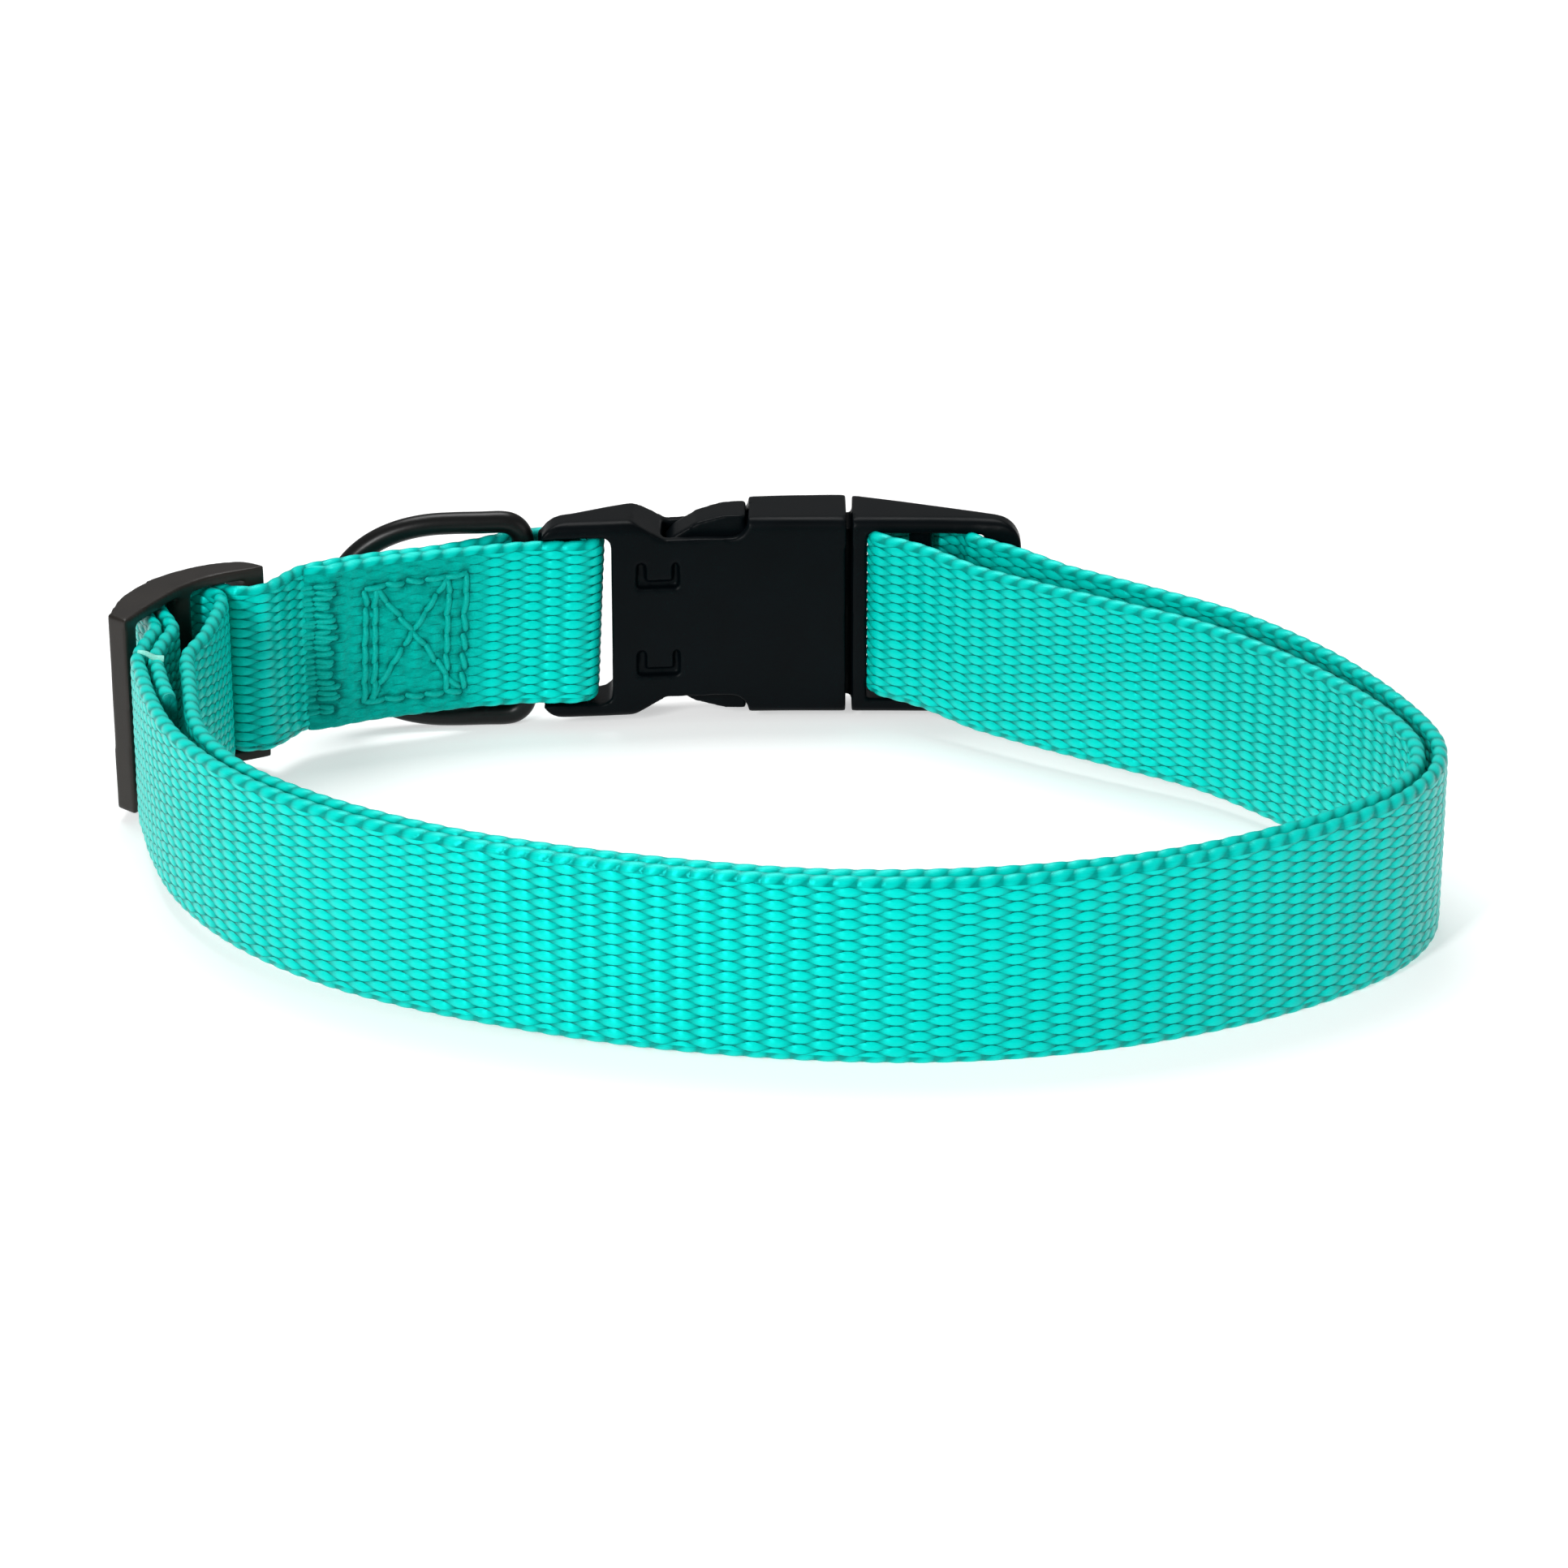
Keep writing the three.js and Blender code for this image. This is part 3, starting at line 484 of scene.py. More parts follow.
def lens_height(u, w):
    """Height from 0 to 1 of the weave at column count u and distance w round the webbing, in mm."""
    on_side = np.mod(w, SIDE)
    from_edge = np.mod(w + EDGE / 2 + SIDE / 2, SIDE) - SIDE / 2
    v = on_side / ROW
    on_face = on_side < FLAT
    best = np.zeros(np.broadcast(u, w).shape)
    for shift_u, shift_v in FLOATS:
        column = np.round((u - shift_u) / 2)
        row = np.round(v - shift_v)
        wobble = hashed(column, row, np.full_like(u, shift_u)) - 0.5
        dx = (u - shift_u) - 2 * column + LENS_WOBBLE * wobble
        dy = (v - shift_v) - row
        tip = np.clip(np.abs(dx / LENS_HALF), 0, 1)
        wide = 0.5 * (1 - tip ** TIP_POWER) + TINY
        f = np.sqrt(np.clip(1 - (dy / wide) ** 2, 0, 1)) * (1 - TIP_FALL * tip ** 2)
        best = np.maximum(best, np.where(on_face, f * (1 + LENS_UNEVEN * wobble), 0))
    slanted = u + BEAD_SLANT * from_edge
    bead = np.clip(np.abs(slanted - np.floor(slanted) - 0.5) / BEAD_HALF, 0, 1)
    wide = BEAD_REACH * (1 - bead ** 2) + TINY
    f = np.sqrt(np.clip(1 - (from_edge / wide) ** 2, 0, 1)) * (1 - BEAD_FALL * bead ** 2)
    under = UNDER_LEVEL * np.clip(1 - (from_edge / UNDER_REACH) ** 2, 0, 1)
    return np.maximum(np.maximum(best, under), BEAD_RISE * f)


def cross_section():
    """Points round the webbing: (across, out, direction across, direction out, distance round)."""
    flat = FLAT / 2
    found = []
    for start, sign in ((0.0, 1.0), (SIDE, -1.0)):
        for k in range(FACE_ROWS * ROW_STEPS):
            d = FLAT * k / (FACE_ROWS * ROW_STEPS)
            found.append((sign * (-flat + d), sign * CORE_HALF, 0.0, sign, start + d))
        for k in range(EDGE_STEPS):
            a = math.pi * k / EDGE_STEPS
            c, t = math.cos(a), math.sin(a)
            across, out = flat + EDGE_ROUND * t, CORE_HALF * c
            round_edge = start + FLAT + EDGE_ROUND * a
            found.append((sign * across, sign * out, sign * t, sign * c, round_edge))
    return np.array(found)


section = cross_section()
SECTION_COUNT = len(section)
stations = np.arange(0, LENGTH, COLUMN / ALONG_STEPS)
stations = stations * (LENGTH / stations[-1])
station_grid = stations[:, None] + np.zeros((1, SECTION_COUNT))
u_grid = (stations / COLUMN)[:, None] + np.zeros((1, SECTION_COUNT))
w_grid = section[None, :, 4] + np.zeros((len(stations), 1))


# Stitches on the sewn tail, as pairs of (arc length, height from the middle)


def arc_at(x):
    """Arc length on the sewn tail where the strap's middle line stands at x."""
    near = arc < TAIL_ARC
    return float(np.interp(x, line[near, 0], arc[near]))


def box_stitches():
    """Two upright rows at each side, one row above and below, and a cross between.

    A row has its x, then how far its top and its foot are off along the strap and across it.
    """
    low, high = BOX_ACROSS
    starts = [arc_at(x) for x, _, _ in BOX_ROWS]
    tops = [(s + top[0], high + top[1]) for s, (_, top, _) in zip(starts, BOX_ROWS)]
    feet = [(s + foot[0], low + foot[1]) for s, (_, _, foot) in zip(starts, BOX_ROWS)]
    runs = [*zip(tops, feet), (tops[0], tops[3]), (feet[0], feet[3])]
    runs += [(tops[1], (starts[3] + CROSS_FOOT, low)), (tops[2], (starts[0], low))]
    found = []
    for k, (a, b) in enumerate(runs):
        a, b = np.array(a), np.array(b)
        count = max(2, int(round(np.linalg.norm(b - a) / STITCH)))
        for i in range(count):
            p = a + (b - a) * (i + STITCH_GAP) / count
            q = a + (b - a) * (i + (1 - STITCH_GAP)) / count
            sway = STITCH_SWAY * (hashed(np.array(k), np.array(i)) - 0.5)
            found.append((p + sway, q - sway))
    return found


def zigzag_stitches():
    """Rows over the folded tail's cut end, each of two stitches, that turn at alternate sides."""
    found = []
    for i in range(int((ZIGZAG_ACROSS[1] - ZIGZAG_ACROSS[0]) / ZIGZAG_STEP)):

        def uneven(start, range_of, key):
            return start + range_of * float(hashed(np.array(i), np.array(key)))

        y = uneven(ZIGZAG_ACROSS[1] - i * ZIGZAG_STEP, ZIGZAG_SWAY, 7) - ZIGZAG_SWAY / 2
        left = uneven(*ZIGZAG_LEFT, 3)
        right = uneven(*ZIGZAG_RIGHT, 5)
        between = uneven(*ZIGZAG_MIDDLE, 9)
        ends = (left, right) if i % 2 else (right, left)
        turn = np.array((between, y - ZIGZAG_STEP / 4))
        found.append((np.array((ends[0], y)), turn))
        found.append((turn, np.array((ends[1], y - ZIGZAG_STEP / 2))))
    return found


def dents_of(stitches):
    """How near each point of the woven surface is to a stitch's end, from 0 to 1."""
    dent = np.zeros_like(station_grid)
    for stitch in stitches:
        for s_end, a_end in stitch:
            far = (station_grid - s_end) ** 2 + (section[None, :, 0] - a_end) ** 2
            dent = np.maximum(dent, np.exp(-far / DENT_SPREAD))
    return dent


def woven_points(dent, on_sewn_face):
    """The woven surface, flattened, dented and puckered where it is sewn and thin at its cut tail."""
    sa, heights = station_grid, section[None, :, 0]
    sewn = np.clip((SEWN_END - sa) / SEWN_FADE, 0, 1) * (section[None, :, 1] < 0)
    rise = RELIEF * lens_height(u_grid, w_grid) * (1 - SEWN_FLATTENS * sewn)
    (a, b), (c, d) = PUCKER_WAVES
    pucker = PUCKER * np.sin(sa * a + heights * b) * np.sin(heights * c - sa * d)
    rise = rise - (DENT_DEPTH * dent - pucker * (sa < SEWN_END - SEWN_FADE)) * on_sewn_face
    drift = sum(size * np.sin(stations / run + start) for size, run, start in DRIFTS)
    across = heights + rise * section[None, :, 2] + drift[:, None]
    out = section[None, :, 1] + rise * section[None, :, 3]
    thinned = np.clip(sa / TAPER, TAPER_LEFT, 1)
    tail = CORE_HALF - (CORE_HALF - out) * thinned + TAIL_PRESS * (1 - sa / TAPER)
    return on_strap(sa, across, np.where(sa < TAPER, tail, out))


def grid_normals(points):
    """Normals of the woven surface, and 1 or -1 for the way that its grid's quads face."""
    du = np.gradient(points, axis=0)
    dv = (np.roll(points, -1, axis=1) - np.roll(points, 1, axis=1)) / 2
    n = np.cross(du, dv)
    n /= np.linalg.norm(n, axis=2)[..., None] + 1e-12
    core = np.mean(points, axis=1, keepdims=True)
    facing = np.sign(np.sum(n * (points - core), axis=2).mean())
    return n * facing, int(facing)


on_box = box_stitches()
on_zigzag = zigzag_stitches()
on_sewn_face = (section[None, :, 3] < INNER_FACE) * (station_grid < SEWN_END)
dent = dents_of(on_box + on_zigzag)
web_points = woven_points(dent, on_sewn_face)
web_normals, web_facing = grid_normals(web_points)
web_uv = np.stack([u_grid, w_grid], -1)


# Materials


def new_material(name, color, roughness, specular=0.5):
    material = bpy.data.materials.new(name)
    material.use_nodes = True
    shader = material.node_tree.nodes["Principled BSDF"]
    shader.inputs["Base Color"].default_value = (*color, 1)
    shader.inputs["Roughness"].default_value = roughness
    shader.inputs["Metallic"].default_value = 0.0
    shader.inputs["Specular IOR Level"].default_value = specular
    return material, material.node_tree, shader


class Formula:
    """Sums, products and the like of sockets and numbers, as nodes of one material."""

    def __init__(self, tree):
        self.tree = tree

    def node(self, operation, a, b=None, clamp=False):
        node = self.tree.nodes.new("ShaderNodeMath")
        node.operation = operation
        node.use_clamp = clamp
        for index, value in enumerate((a, b)):
            if isinstance(value, (int, float)):
                node.inputs[index].default_value = value
            elif value is not None:
                self.tree.links.new(value, node.inputs[index])
        return node.outputs[0]

    def add(self, a, b):
        return self.node("ADD", a, b)

    def less(self, a, b, clamp=False):
        return self.node("SUBTRACT", a, b, clamp)

    def times(self, a, b, clamp=False):
        return self.node("MULTIPLY", a, b, clamp)

    def over(self, a, b, clamp=False):
        return self.node("DIVIDE", a, b, clamp)

    def size(self, a):
        return self.node("ABSOLUTE", a)

    def squared(self, a):
        return self.node("POWER", a, 2.0)

    def larger(self, a, b):
        return self.node("MAXIMUM", a, b)

    def to_nearest(self, a):
        """How far a lies from the nearest whole number."""
        return self.less(a, self.node("ROUND", a))

    def varied(self, noise, share):
        """A noise's swing round its middle, times a share."""
        return self.times(self.less(noise, 0.5), share)

    def half_round(self, distance, wide):
        """Height of a half circle at a distance from its middle."""
        side = self.squared(self.over(self.size(distance), wide))
        return self.node("SQRT", self.less(1.0, side, clamp=True))


def ramp_node(tree, value, stops):
    node = tree.nodes.new("ShaderNodeValToRGB")
    ramp = node.color_ramp
    while len(ramp.elements) < len(stops):
        ramp.elements.new(0.5)
    for element, (position, color) in zip(ramp.elements, stops):
        element.position = position
        element.color = (*color, 1)
    tree.links.new(value, node.inputs[0])
    return node.outputs[0]


def noise_node(tree, vector, scale, detail, roughness):
    node = tree.nodes.new("ShaderNodeTexNoise")
    node.inputs["Scale"].default_value = scale
    node.inputs["Detail"].default_value = detail
    node.inputs["Roughness"].default_value = roughness
    tree.links.new(vector, node.inputs["Vector"])
    return node.outputs["Fac"]


def stretched_noise(tree, vector, factors, detail, roughness):
    node = tree.nodes.new("ShaderNodeMapping")
    node.inputs["Scale"].default_value = factors
    tree.links.new(vector, node.inputs["Vector"])
    return noise_node(tree, node.outputs[0], 1.0, detail, roughness)


def bump_node(tree, height_socket, strength, distance, normal_socket=None):
    node = tree.nodes.new("ShaderNodeBump")
    node.inputs["Strength"].default_value = strength
    node.inputs["Distance"].default_value = distance
    tree.links.new(height_socket, node.inputs["Height"])
    if normal_socket is not None:
        tree.links.new(normal_socket, node.inputs["Normal"])
    return node.outputs[0]


def float_nodes(do, u, v, on_face, shift):
    """One set of staggered floats: its height, and how far its threads are from bending under."""
    dx = do.times(do.to_nearest(do.over(do.less(u, shift[0]), 2.0)), 2.0)
    dy = do.to_nearest(do.less(v, shift[1]))
    tip = do.over(do.size(dx), LENS_HALF, clamp=True)
    wide = do.add(do.times(do.less(1.0, do.node("POWER", tip, TIP_POWER)), 0.5), TINY)
    arch = do.half_round(dy, wide)
    fall = do.times(do.squared(tip), TIP_FALL)
    height = do.times(do.times(arch, do.less(1.0, fall)), on_face)
    body = do.times(arch, 3.0, clamp=True)
    bend = do.times(do.times(body, do.less(1.0, do.squared(tip))), on_face)
    return height, bend


def lens_nodes(do, u, w):
    """The weave of lens_height as shader nodes: its height, the floats' bend and the selvedge."""
    on_side = do.node("MODULO", do.add(w, 4 * SIDE), SIDE)
    v = do.over(on_side, ROW)
    from_edge = do.less(do.node("MODULO", do.add(w, EDGE / 2 + SIDE * 4.5), SIDE), SIDE / 2)
    on_face = do.node("LESS_THAN", on_side, FLAT)
    (first, first_bend), (second, second_bend) = (float_nodes(do, u, v, on_face, shift) for shift in FLOATS)
    slanted = do.add(u, do.times(from_edge, BEAD_SLANT))
    middle = do.less(do.node("FRACT", slanted), 0.5)
    bead = do.squared(do.over(do.size(middle), BEAD_HALF, clamp=True))
    wide = do.add(do.times(do.less(1.0, bead), BEAD_REACH), TINY)
    beads = do.times(do.half_round(from_edge, wide), do.less(1.0, do.times(bead, BEAD_FALL)))
    under = do.squared(do.over(do.size(from_edge), UNDER_REACH))
    ground = do.times(do.less(1.0, under, clamp=True), UNDER_LEVEL)
    level = do.larger(do.larger(do.larger(first, second), beads), ground)
    return level, do.larger(first_bend, second_bend), do.larger(beads, ground)


def sewn_nodes(do, u, w):
    """1 on the sewn tail's inner face, fading out where the sewing ends."""
    on_tail = do.over(do.less(SEWN_END / COLUMN, u), SEWN_COLUMNS, clamp=True)
    return do.times(on_tail, do.node("GREATER_THAN", w, SIDE))


def webbing_color(tree, shade, sewn_part):
    """Turquoise from painted shade in the gaps of the weave to painted highlight on its crowns, with
    painted shade where it is sewn.
    """
    color = ramp_node(tree, shade, WEAVE_SHADE_AND_HIGHLIGHT)
    dim = tree.nodes.new("ShaderNodeMix")
    dim.data_type = "RGBA"
    dim.blend_type = "MULTIPLY"
    tree.links.new(sewn_part, dim.inputs[0])
    tree.links.new(color, dim.inputs[6])
    dim.inputs[7].default_value = SEWN_PAINTED_SHADE
    return dim.outputs[2]


def webbing_material():
    material, tree, shader = new_material("webbing", (0.0, 0.62, 0.50), 0.40)
    do = Formula(tree)
    uv = tree.nodes.new("ShaderNodeUVMap")
    uv.uv_map = "weave"
    split = tree.nodes.new("ShaderNodeSeparateXYZ")
    tree.links.new(uv.outputs[0], split.inputs[0])
    u, w = split.outputs[0], split.outputs[1]
    threads = stretched_noise(tree, uv.outputs[0], (1.1, 9.0, 1.0), 2.0, 0.6)
    cloud = stretched_noise(tree, uv.outputs[0], (0.12, 0.09, 1.0), 3.0, 0.6)
    mottle = do.varied(stretched_noise(tree, uv.outputs[0], (1.6, 0.8, 1.0), 3.0, 0.65), MOTTLE_SHARE)
    dent_painted_shade = tree.nodes.new("ShaderNodeAttribute")
    dent_painted_shade.attribute_name = "dent_painted_shade"
    sewn_part = sewn_nodes(do, u, w)

    level, bend, selvedge = lens_nodes(do, u, w)
    # Painted shade and highlight: the weave's gaps and the floats' tips are painted darker and their crowns
    # lighter, evened out and painted darker where sewn
    level = do.add(do.times(do.larger(bend, selvedge), BEND_SHARE), do.times(level, LEVEL_SHARE))
    shade = do.add(level, do.times(do.times(do.less(SEWN_LEVEL, level), sewn_part), SEWN_EVENS))
    shade = do.add(shade, do.varied(threads, THREAD_SHARE))
    shade = do.add(shade, do.varied(cloud, CLOUD_SHARE))
    shade = do.add(shade, do.times(mottle, sewn_part))
    # Painted shade: the webbing is painted darker in the stitch dents
    shade = do.less(shade, dent_painted_shade.outputs["Fac"])
    tree.links.new(webbing_color(tree, shade, sewn_part), shader.inputs["Base Color"])

    rough = do.add(do.times(threads, 0.14), 0.30)
    tree.links.new(do.add(rough, do.times(sewn_part, SEWN_ROUGHER)), shader.inputs["Roughness"])
    shader.inputs["Specular IOR Level"].default_value = 0.85
    shader.inputs["Specular Tint"].default_value = (0.02, 1.0, 0.95, 1)
    shader.inputs["Anisotropic"].default_value = 0.9
    shader.inputs["Anisotropic Rotation"].default_value = 0.25
    fibres = tree.nodes.new("ShaderNodeTangent")
    fibres.direction_type = "UV_MAP"
    fibres.uv_map = "weave"
    tree.links.new(fibres.outputs[0], shader.inputs["Tangent"])

    keeps = do.less(1.0, do.times(sewn_part, SEWN_KEEPS))
    weave = bump_node(tree, do.times(level, keeps), 0.5, 0.00015)
    swell = do.add(do.times(bend, keeps), do.times(mottle, sewn_part))
    bent = bump_node(tree, swell, 1.0, 0.00045, weave)
    tree.links.new(bump_node(tree, threads, 0.5, 0.00005, bent), shader.inputs["Normal"])
    return material


def thread_material(name, color):
    material, tree, shader = new_material(name, color, 0.5, 0.35)
    shader.inputs["Specular Tint"].default_value = (0.2, 1.0, 0.95, 1)
    where = tree.nodes.new("ShaderNodeTexCoord").outputs["Object"]
    fibre = noise_node(tree, where, 3000.0, 2.0, 0.6)
    shades = ramp_node(tree, fibre, [(0.3, tuple(0.75 * c for c in color)), (0.7, color)])
    tree.links.new(shades, shader.inputs["Base Color"])
    tree.links.new(bump_node(tree, fibre, 0.4, 0.00006), shader.inputs["Normal"])
    return material


def dark_material(name, color, roughness, grain, specular):
    """Black plastic or coated metal with a fine grain and slightly uneven gloss."""
    material, tree, shader = new_material(name, color, roughness, specular)
    do = Formula(tree)
    where = tree.nodes.new("ShaderNodeTexCoord").outputs["Object"]
    fine = noise_node(tree, where, grain, 3.0, 0.6)
    broad = noise_node(tree, where, 140.0, 2.0, 0.5)
    rough = do.add(do.times(broad, 0.12), roughness - 0.06)
    tree.links.new(do.add(rough, do.times(fine, 0.06)), shader.inputs["Roughness"])
    darker, lighter = tuple(0.85 * c for c in color), tuple(1.2 * c for c in color)
    tree.links.new(ramp_node(tree, broad, [(0.3, darker), (0.7, lighter)]), shader.inputs["Base Color"])
    tree.links.new(bump_node(tree, fine, 0.25, 0.00004), shader.inputs["Normal"])
    return material


webbing = webbing_material()
thread = thread_material("sewing_thread", (0.0, 0.42, 0.355))
# The cut ends are painted a darker turquoise as painted shade
shaded_cut_ends = thread_material("shaded_cut_ends", (0.0, 0.26, 0.22))
loose_end = thread_material("loose_end", (0.30, 0.78, 0.66))
buckle_plastic = dark_material("buckle_plastic", (0.0008, 0.0019, 0.0027), 0.37, 3800.0, 0.065)
slide_plastic = dark_material("slide_plastic", (0.015, 0.0125, 0.0105), 0.36, 3800.0, 0.20)
ring_metal = dark_material("ring_metal", (0.004, 0.0042, 0.0042), 0.30, 2600.0, 0.20)


# Soft pieces


def webbing_pieces():
    """The woven surface in stretches that each keep to a moderate count of triangles."""
    # Painted shade for the stitch dents on the sewn face
    painted_dent_shades = dent * on_sewn_face
    cuts = [*CUTS, LENGTH]
    for k in range(len(cuts) - 1):
        first = int(np.searchsorted(stations, cuts[k]))
        last = min(len(stations) - 1, int(np.searchsorted(stations, cuts[k + 1])))
        part = slice(first, last + 1)
        obj = mesh_object(
            f"webbing_{k + 1}",
            web_points[part].reshape(-1, 3),
            grid_faces(last + 1 - first, SECTION_COUNT)[:, ::-web_facing],
            webbing,
            uv=web_uv[part].reshape(-1, 2),
            normals=web_normals[part].reshape(-1, 3),
            dent_painted_shade=painted_dent_shades[part].ravel(),
        )
        add_piece(obj, "strap", "collar")


def cut_end(name, index, step):
    """The cut end of the webbing, a slightly domed face of thread ends."""
    ring = web_points[index]
    middle = ring.mean(axis=0)
    away = middle - web_points[index + step].mean(axis=0)
    away /= np.linalg.norm(away)
    rings = []
    for share, push in CUT_RINGS:
        level = middle + (ring - middle) * np.array([share, share, 0.9 + 0.1 * share])
        fray = CUT_FRAY * np.sin(np.arange(len(ring)) * CUT_FRAY_WAVE)[:, None]
        rings.append(level + away * (push + fray))
    faces = grid_faces(len(rings), len(ring))
    if step > 0:
        faces = faces[:, ::-1]
    obj = mesh_object(name, np.concatenate(rings), faces, shaded_cut_ends)
    add_piece(obj, "strap", "collar")


def surface_out(s):
    """How far out the sewn face stands at arc length s, past its cut end too."""
    share = np.clip(s / TAPER, TAPER_LEFT, 1)
    pressed = TAIL_PRESS * np.clip(1 - s / TAPER, 0, 1.1)
    return CORE_HALF - (2 * CORE_HALF + SEWN_RELIEF * RELIEF) * share + pressed


def stitch_path(p, q):
    """A stitch between two points of the sewn face, sunk in it and diving down at both ends."""
    f = np.linspace(0, 1, STITCH_POINTS)
    s = p[0] + (q[0] - p[0]) * f
    a = p[1] + (q[1] - p[1]) * f
    arch = np.sin(math.pi * f)
    lift = STITCH_ARCH * arch - STITCH_SUNK - STITCH_DIVE * (1 - arch ** 0.5)
    path = on_strap(np.maximum(s, 0.0), a, surface_out(s) - lift)
    back = (along(TAIL_PROBE)[0] - along(0.0)[0]) / TAIL_PROBE
    path[:, :2] += back[None, :] * np.minimum(s, 0.0)[:, None]
    return path


def stitching():
    paths = [stitch_path(p, q) for p, q in on_box + on_zigzag]
    tubes("stitching", paths, [THREAD] * len(on_box) + [ZIGZAG_THREAD] * len(on_zigzag), thread)


def loose_thread(root, steps, radius):
    """A thread that starts at a root on the strap and wanders off by the given steps."""
    corners = np.vstack([root, np.array(root) + np.cumsum(np.array(steps, float), axis=0)])
    f = np.linspace(0, len(corners) - 1, 16)
    path = np.stack([np.interp(f, np.arange(len(corners)), corners[:, k]) for k in range(3)], 1)
    for _ in range(3):
        path[1:-1] = (path[:-2] + 2 * path[1:-1] + path[2:]) / 4
    return path, radius * np.linspace(1.0, 0.4, len(path))


def loose_threads():
    """A frayed end beside the slide and a short stray one on the selvedge in front of it."""
    frayed, stray = loose_thread(*FRAYED), loose_thread(*STRAY)
    tubes("loose_threads", [frayed[0], stray[0]], [frayed[1], stray[1]], loose_end, sides=9)


webbing_pieces()
cut_end("cut_end_sewn", 0, 1)
cut_end("cut_end_tail", len(stations) - 1, -1)
stitching()
loose_threads()


# Hard pieces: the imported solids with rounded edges


def rounded_copy(node_name, name, material):
    """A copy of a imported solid, remeshed and eased so that its edges are softly rounded."""
    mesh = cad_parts[node_name].data.copy()
    mesh.transform(Matrix.Scale(1 / MM, 4))
    obj = bpy.data.objects.new(name, mesh)
    bpy.context.scene.collection.objects.link(obj)
    weld = obj.modifiers.new("weld", "WELD")
    weld.merge_threshold = WELD_DISTANCE
    remesh = obj.modifiers.new("remesh", "REMESH")
    remesh.mode = "VOXEL"
    remesh.voxel_size = FINE_VOXEL
    ease = obj.modifiers.new("ease", "SMOOTH")
    ease.factor = 0.5
    ease.iterations = EASING
    bpy.context.view_layer.update()
    graph = bpy.context.evaluated_depsgraph_get()
    made = bpy.data.meshes.new_from_object(obj.evaluated_get(graph))
    obj.modifiers.clear()
    obj.data = made
    made.transform(Matrix.Scale(MM, 4))
    made.polygons.foreach_set("use_smooth", np.ones(len(made.polygons), bool))
    made.materials.clear()
    made.materials.append(material)
    made.update()
    add_piece(obj, node_name, "collar")


rounded_copy("buckle_socket", "socket_shell", buckle_plastic)
rounded_copy("buckle_plug", "plug_shell", buckle_plastic)
rounded_copy("slide", "slide_frame", slide_plastic)


# D-ring


def ring_path():
    """The wire's middle line: a straight bar with round corners, two arms and a bow."""
    top = (RING_HEIGHT - RING_WIRE) / 2
    depth = RING_DEPTH - RING_WIRE
    arm_end = RING_ARM * depth
    upper = []
    for i in range(5):
        a = math.radians(180 - 90 * i / 4)
        height = top - RING_CORNER + RING_CORNER * math.sin(a)
        upper.append((RING_CORNER + RING_CORNER * math.cos(a), height))
    bow = []
    for i in range(1, 13):
        a = math.pi / 2 * i / 12
        c = max(0.0, math.cos(a))
        bow.append((arm_end + (depth - arm_end) * math.sin(a) ** RING_BOW_POWER, top * c ** RING_BOW_POWER))
    bow[-1] = (bow[-1][0], 0.0)
    right = [(0.0, RING_BAR_POINT * top), *upper, (arm_end * RING_ARM_POINT, top), (arm_end, top), *bow]
    left = [(d, -z) for d, z in right[:-1]][::-1]
    a = math.radians(180 + RING_TURN)
    x, y = RING_BAR
    return np.array([(x + math.cos(a) * d, y + math.sin(a) * d, RING_Z + z) for d, z in right + left])


def d_ring():
    path = closed_curve(ring_path(), RING_COUNT)
    t = np.roll(path, -1, 0) - np.roll(path, 1, 0)
    t /= np.linalg.norm(t, axis=1)[:, None]
    a = math.radians(180 + RING_TURN)
    side = np.array([-math.sin(a), math.cos(a), 0.0])
    inward = np.cross(t, side)
    inward /= np.linalg.norm(inward, axis=1)[:, None]
    angle = np.linspace(0, 2 * math.pi, RING_SIDES, endpoint=False)
    offset = np.cos(angle)[None, :, None] * side + np.sin(angle)[None, :, None] * inward[:, None]
    points = (path[:, None] + RING_WIRE / 2 * offset).reshape(-1, 3)
    faces = grid_faces(RING_COUNT + 1, RING_SIDES) % (RING_COUNT * RING_SIDES)
    add_piece(mesh_object("ring_wire", points, faces, ring_metal), "d_ring", "ring")


d_ring()


# Floor, light and camera


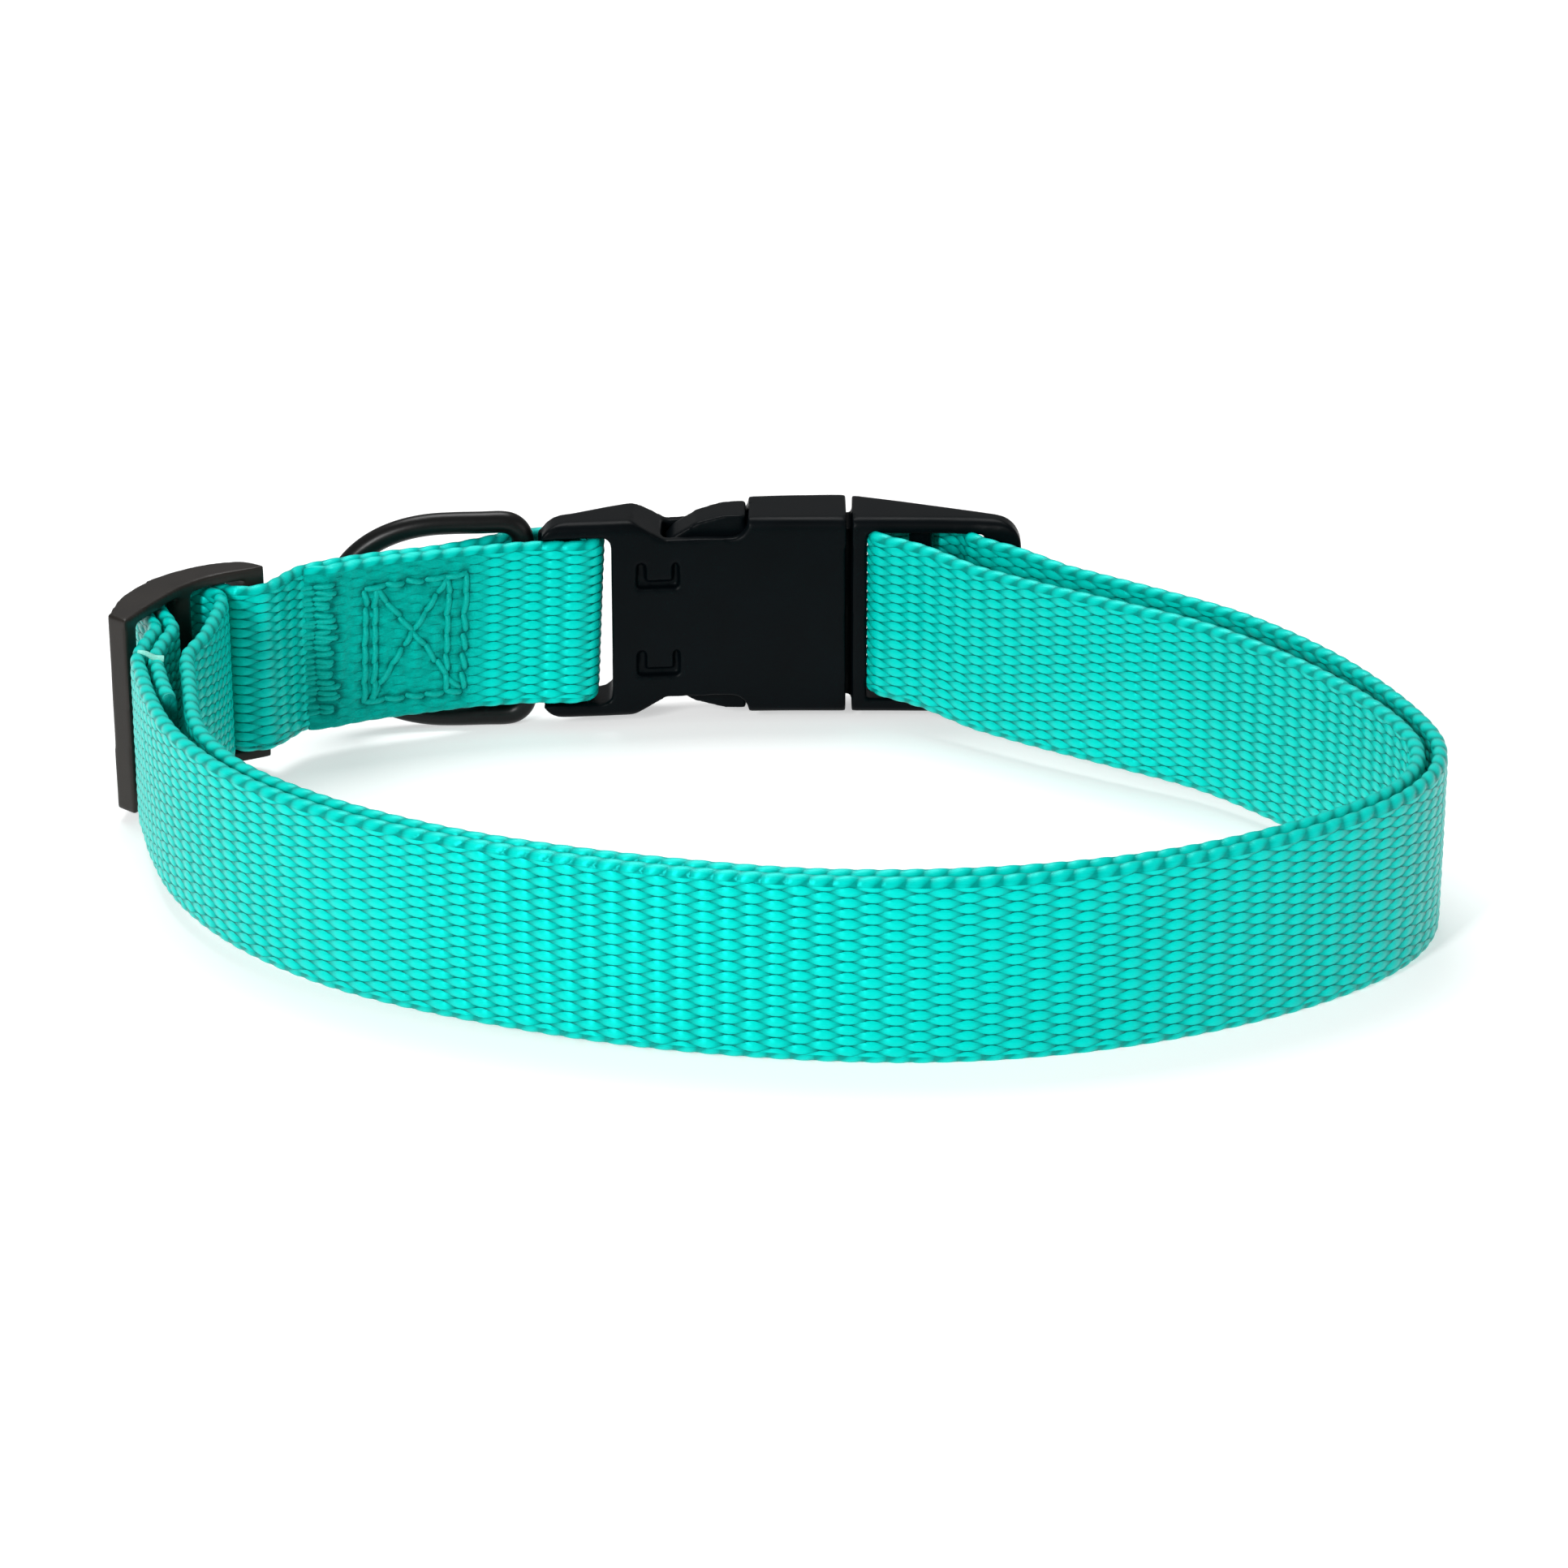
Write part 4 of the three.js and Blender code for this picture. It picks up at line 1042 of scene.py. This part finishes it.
def pale_floor():
    material, _, shader = new_material("floor", (FLOOR_SHADE,) * 3, 0.9, 0.1)
    shader.inputs["Emission Color"].default_value = (1, 1, 1, 1)
    shader.inputs["Emission Strength"].default_value = FLOOR_GLOW
    mesh = bpy.data.meshes.new("floor")
    r = FLOOR_REACH
    mesh.from_pydata([(-r, -r, 0), (r, -r, 0), (r, r, 0), (-r, r, 0)], [], [(0, 1, 2, 3)])
    mesh.materials.append(material)
    floor = bpy.data.objects.new("floor", mesh)
    bpy.context.scene.collection.objects.link(floor)


def studio_world():
    world = bpy.data.worlds.new("studio")
    bpy.context.scene.world = world
    world.use_nodes = True
    background = world.node_tree.nodes["Background"]
    background.inputs[0].default_value = (1.0, 1.0, 1.0, 1)
    background.inputs[1].default_value = WORLD_GLOW


def area_light(name, place, target, size, power):
    data = bpy.data.lights.new(name, "AREA")
    data.shape = "RECTANGLE"
    data.size = size[0]
    data.size_y = size[1]
    data.energy = power
    obj = bpy.data.objects.new(name, data)
    bpy.context.scene.collection.objects.link(obj)
    obj.location = place
    obj.rotation_euler = (Vector(target) - Vector(place)).to_track_quat("-Z", "Y").to_euler()


def photo_camera():
    """The fitted camera, which looks at the collar's middle from in front and above."""
    pitch = math.radians(CAMERA_PITCH)
    forward = np.array([0.0, math.cos(pitch), -math.sin(pitch)])
    up = np.array([0.0, math.sin(pitch), math.cos(pitch)])
    place = to_world(-forward * CAMERA_DISTANCE)
    forward_w = LEAN @ forward
    up_w = LEAN @ up
    right_w = np.cross(forward_w, up_w)
    data = bpy.data.cameras.new("camera")
    data.lens = LENS_MM
    data.sensor_width = SENSOR_MM
    data.clip_start, data.clip_end = CLIP
    camera = bpy.data.objects.new("camera", data)
    bpy.context.scene.collection.objects.link(camera)
    matrix = Matrix.Identity(4)
    for row in range(3):
        matrix[row][0] = right_w[row]
        matrix[row][1] = up_w[row]
        matrix[row][2] = -forward_w[row]
        matrix[row][3] = place[row]
    camera.matrix_world = matrix
    bpy.context.scene.camera = camera


bpy.context.scene.view_settings.view_transform = "Standard"
bpy.context.scene.view_settings.look = "None"
pale_floor()
studio_world()
for light in LIGHTS:
    area_light(*light)
photo_camera()
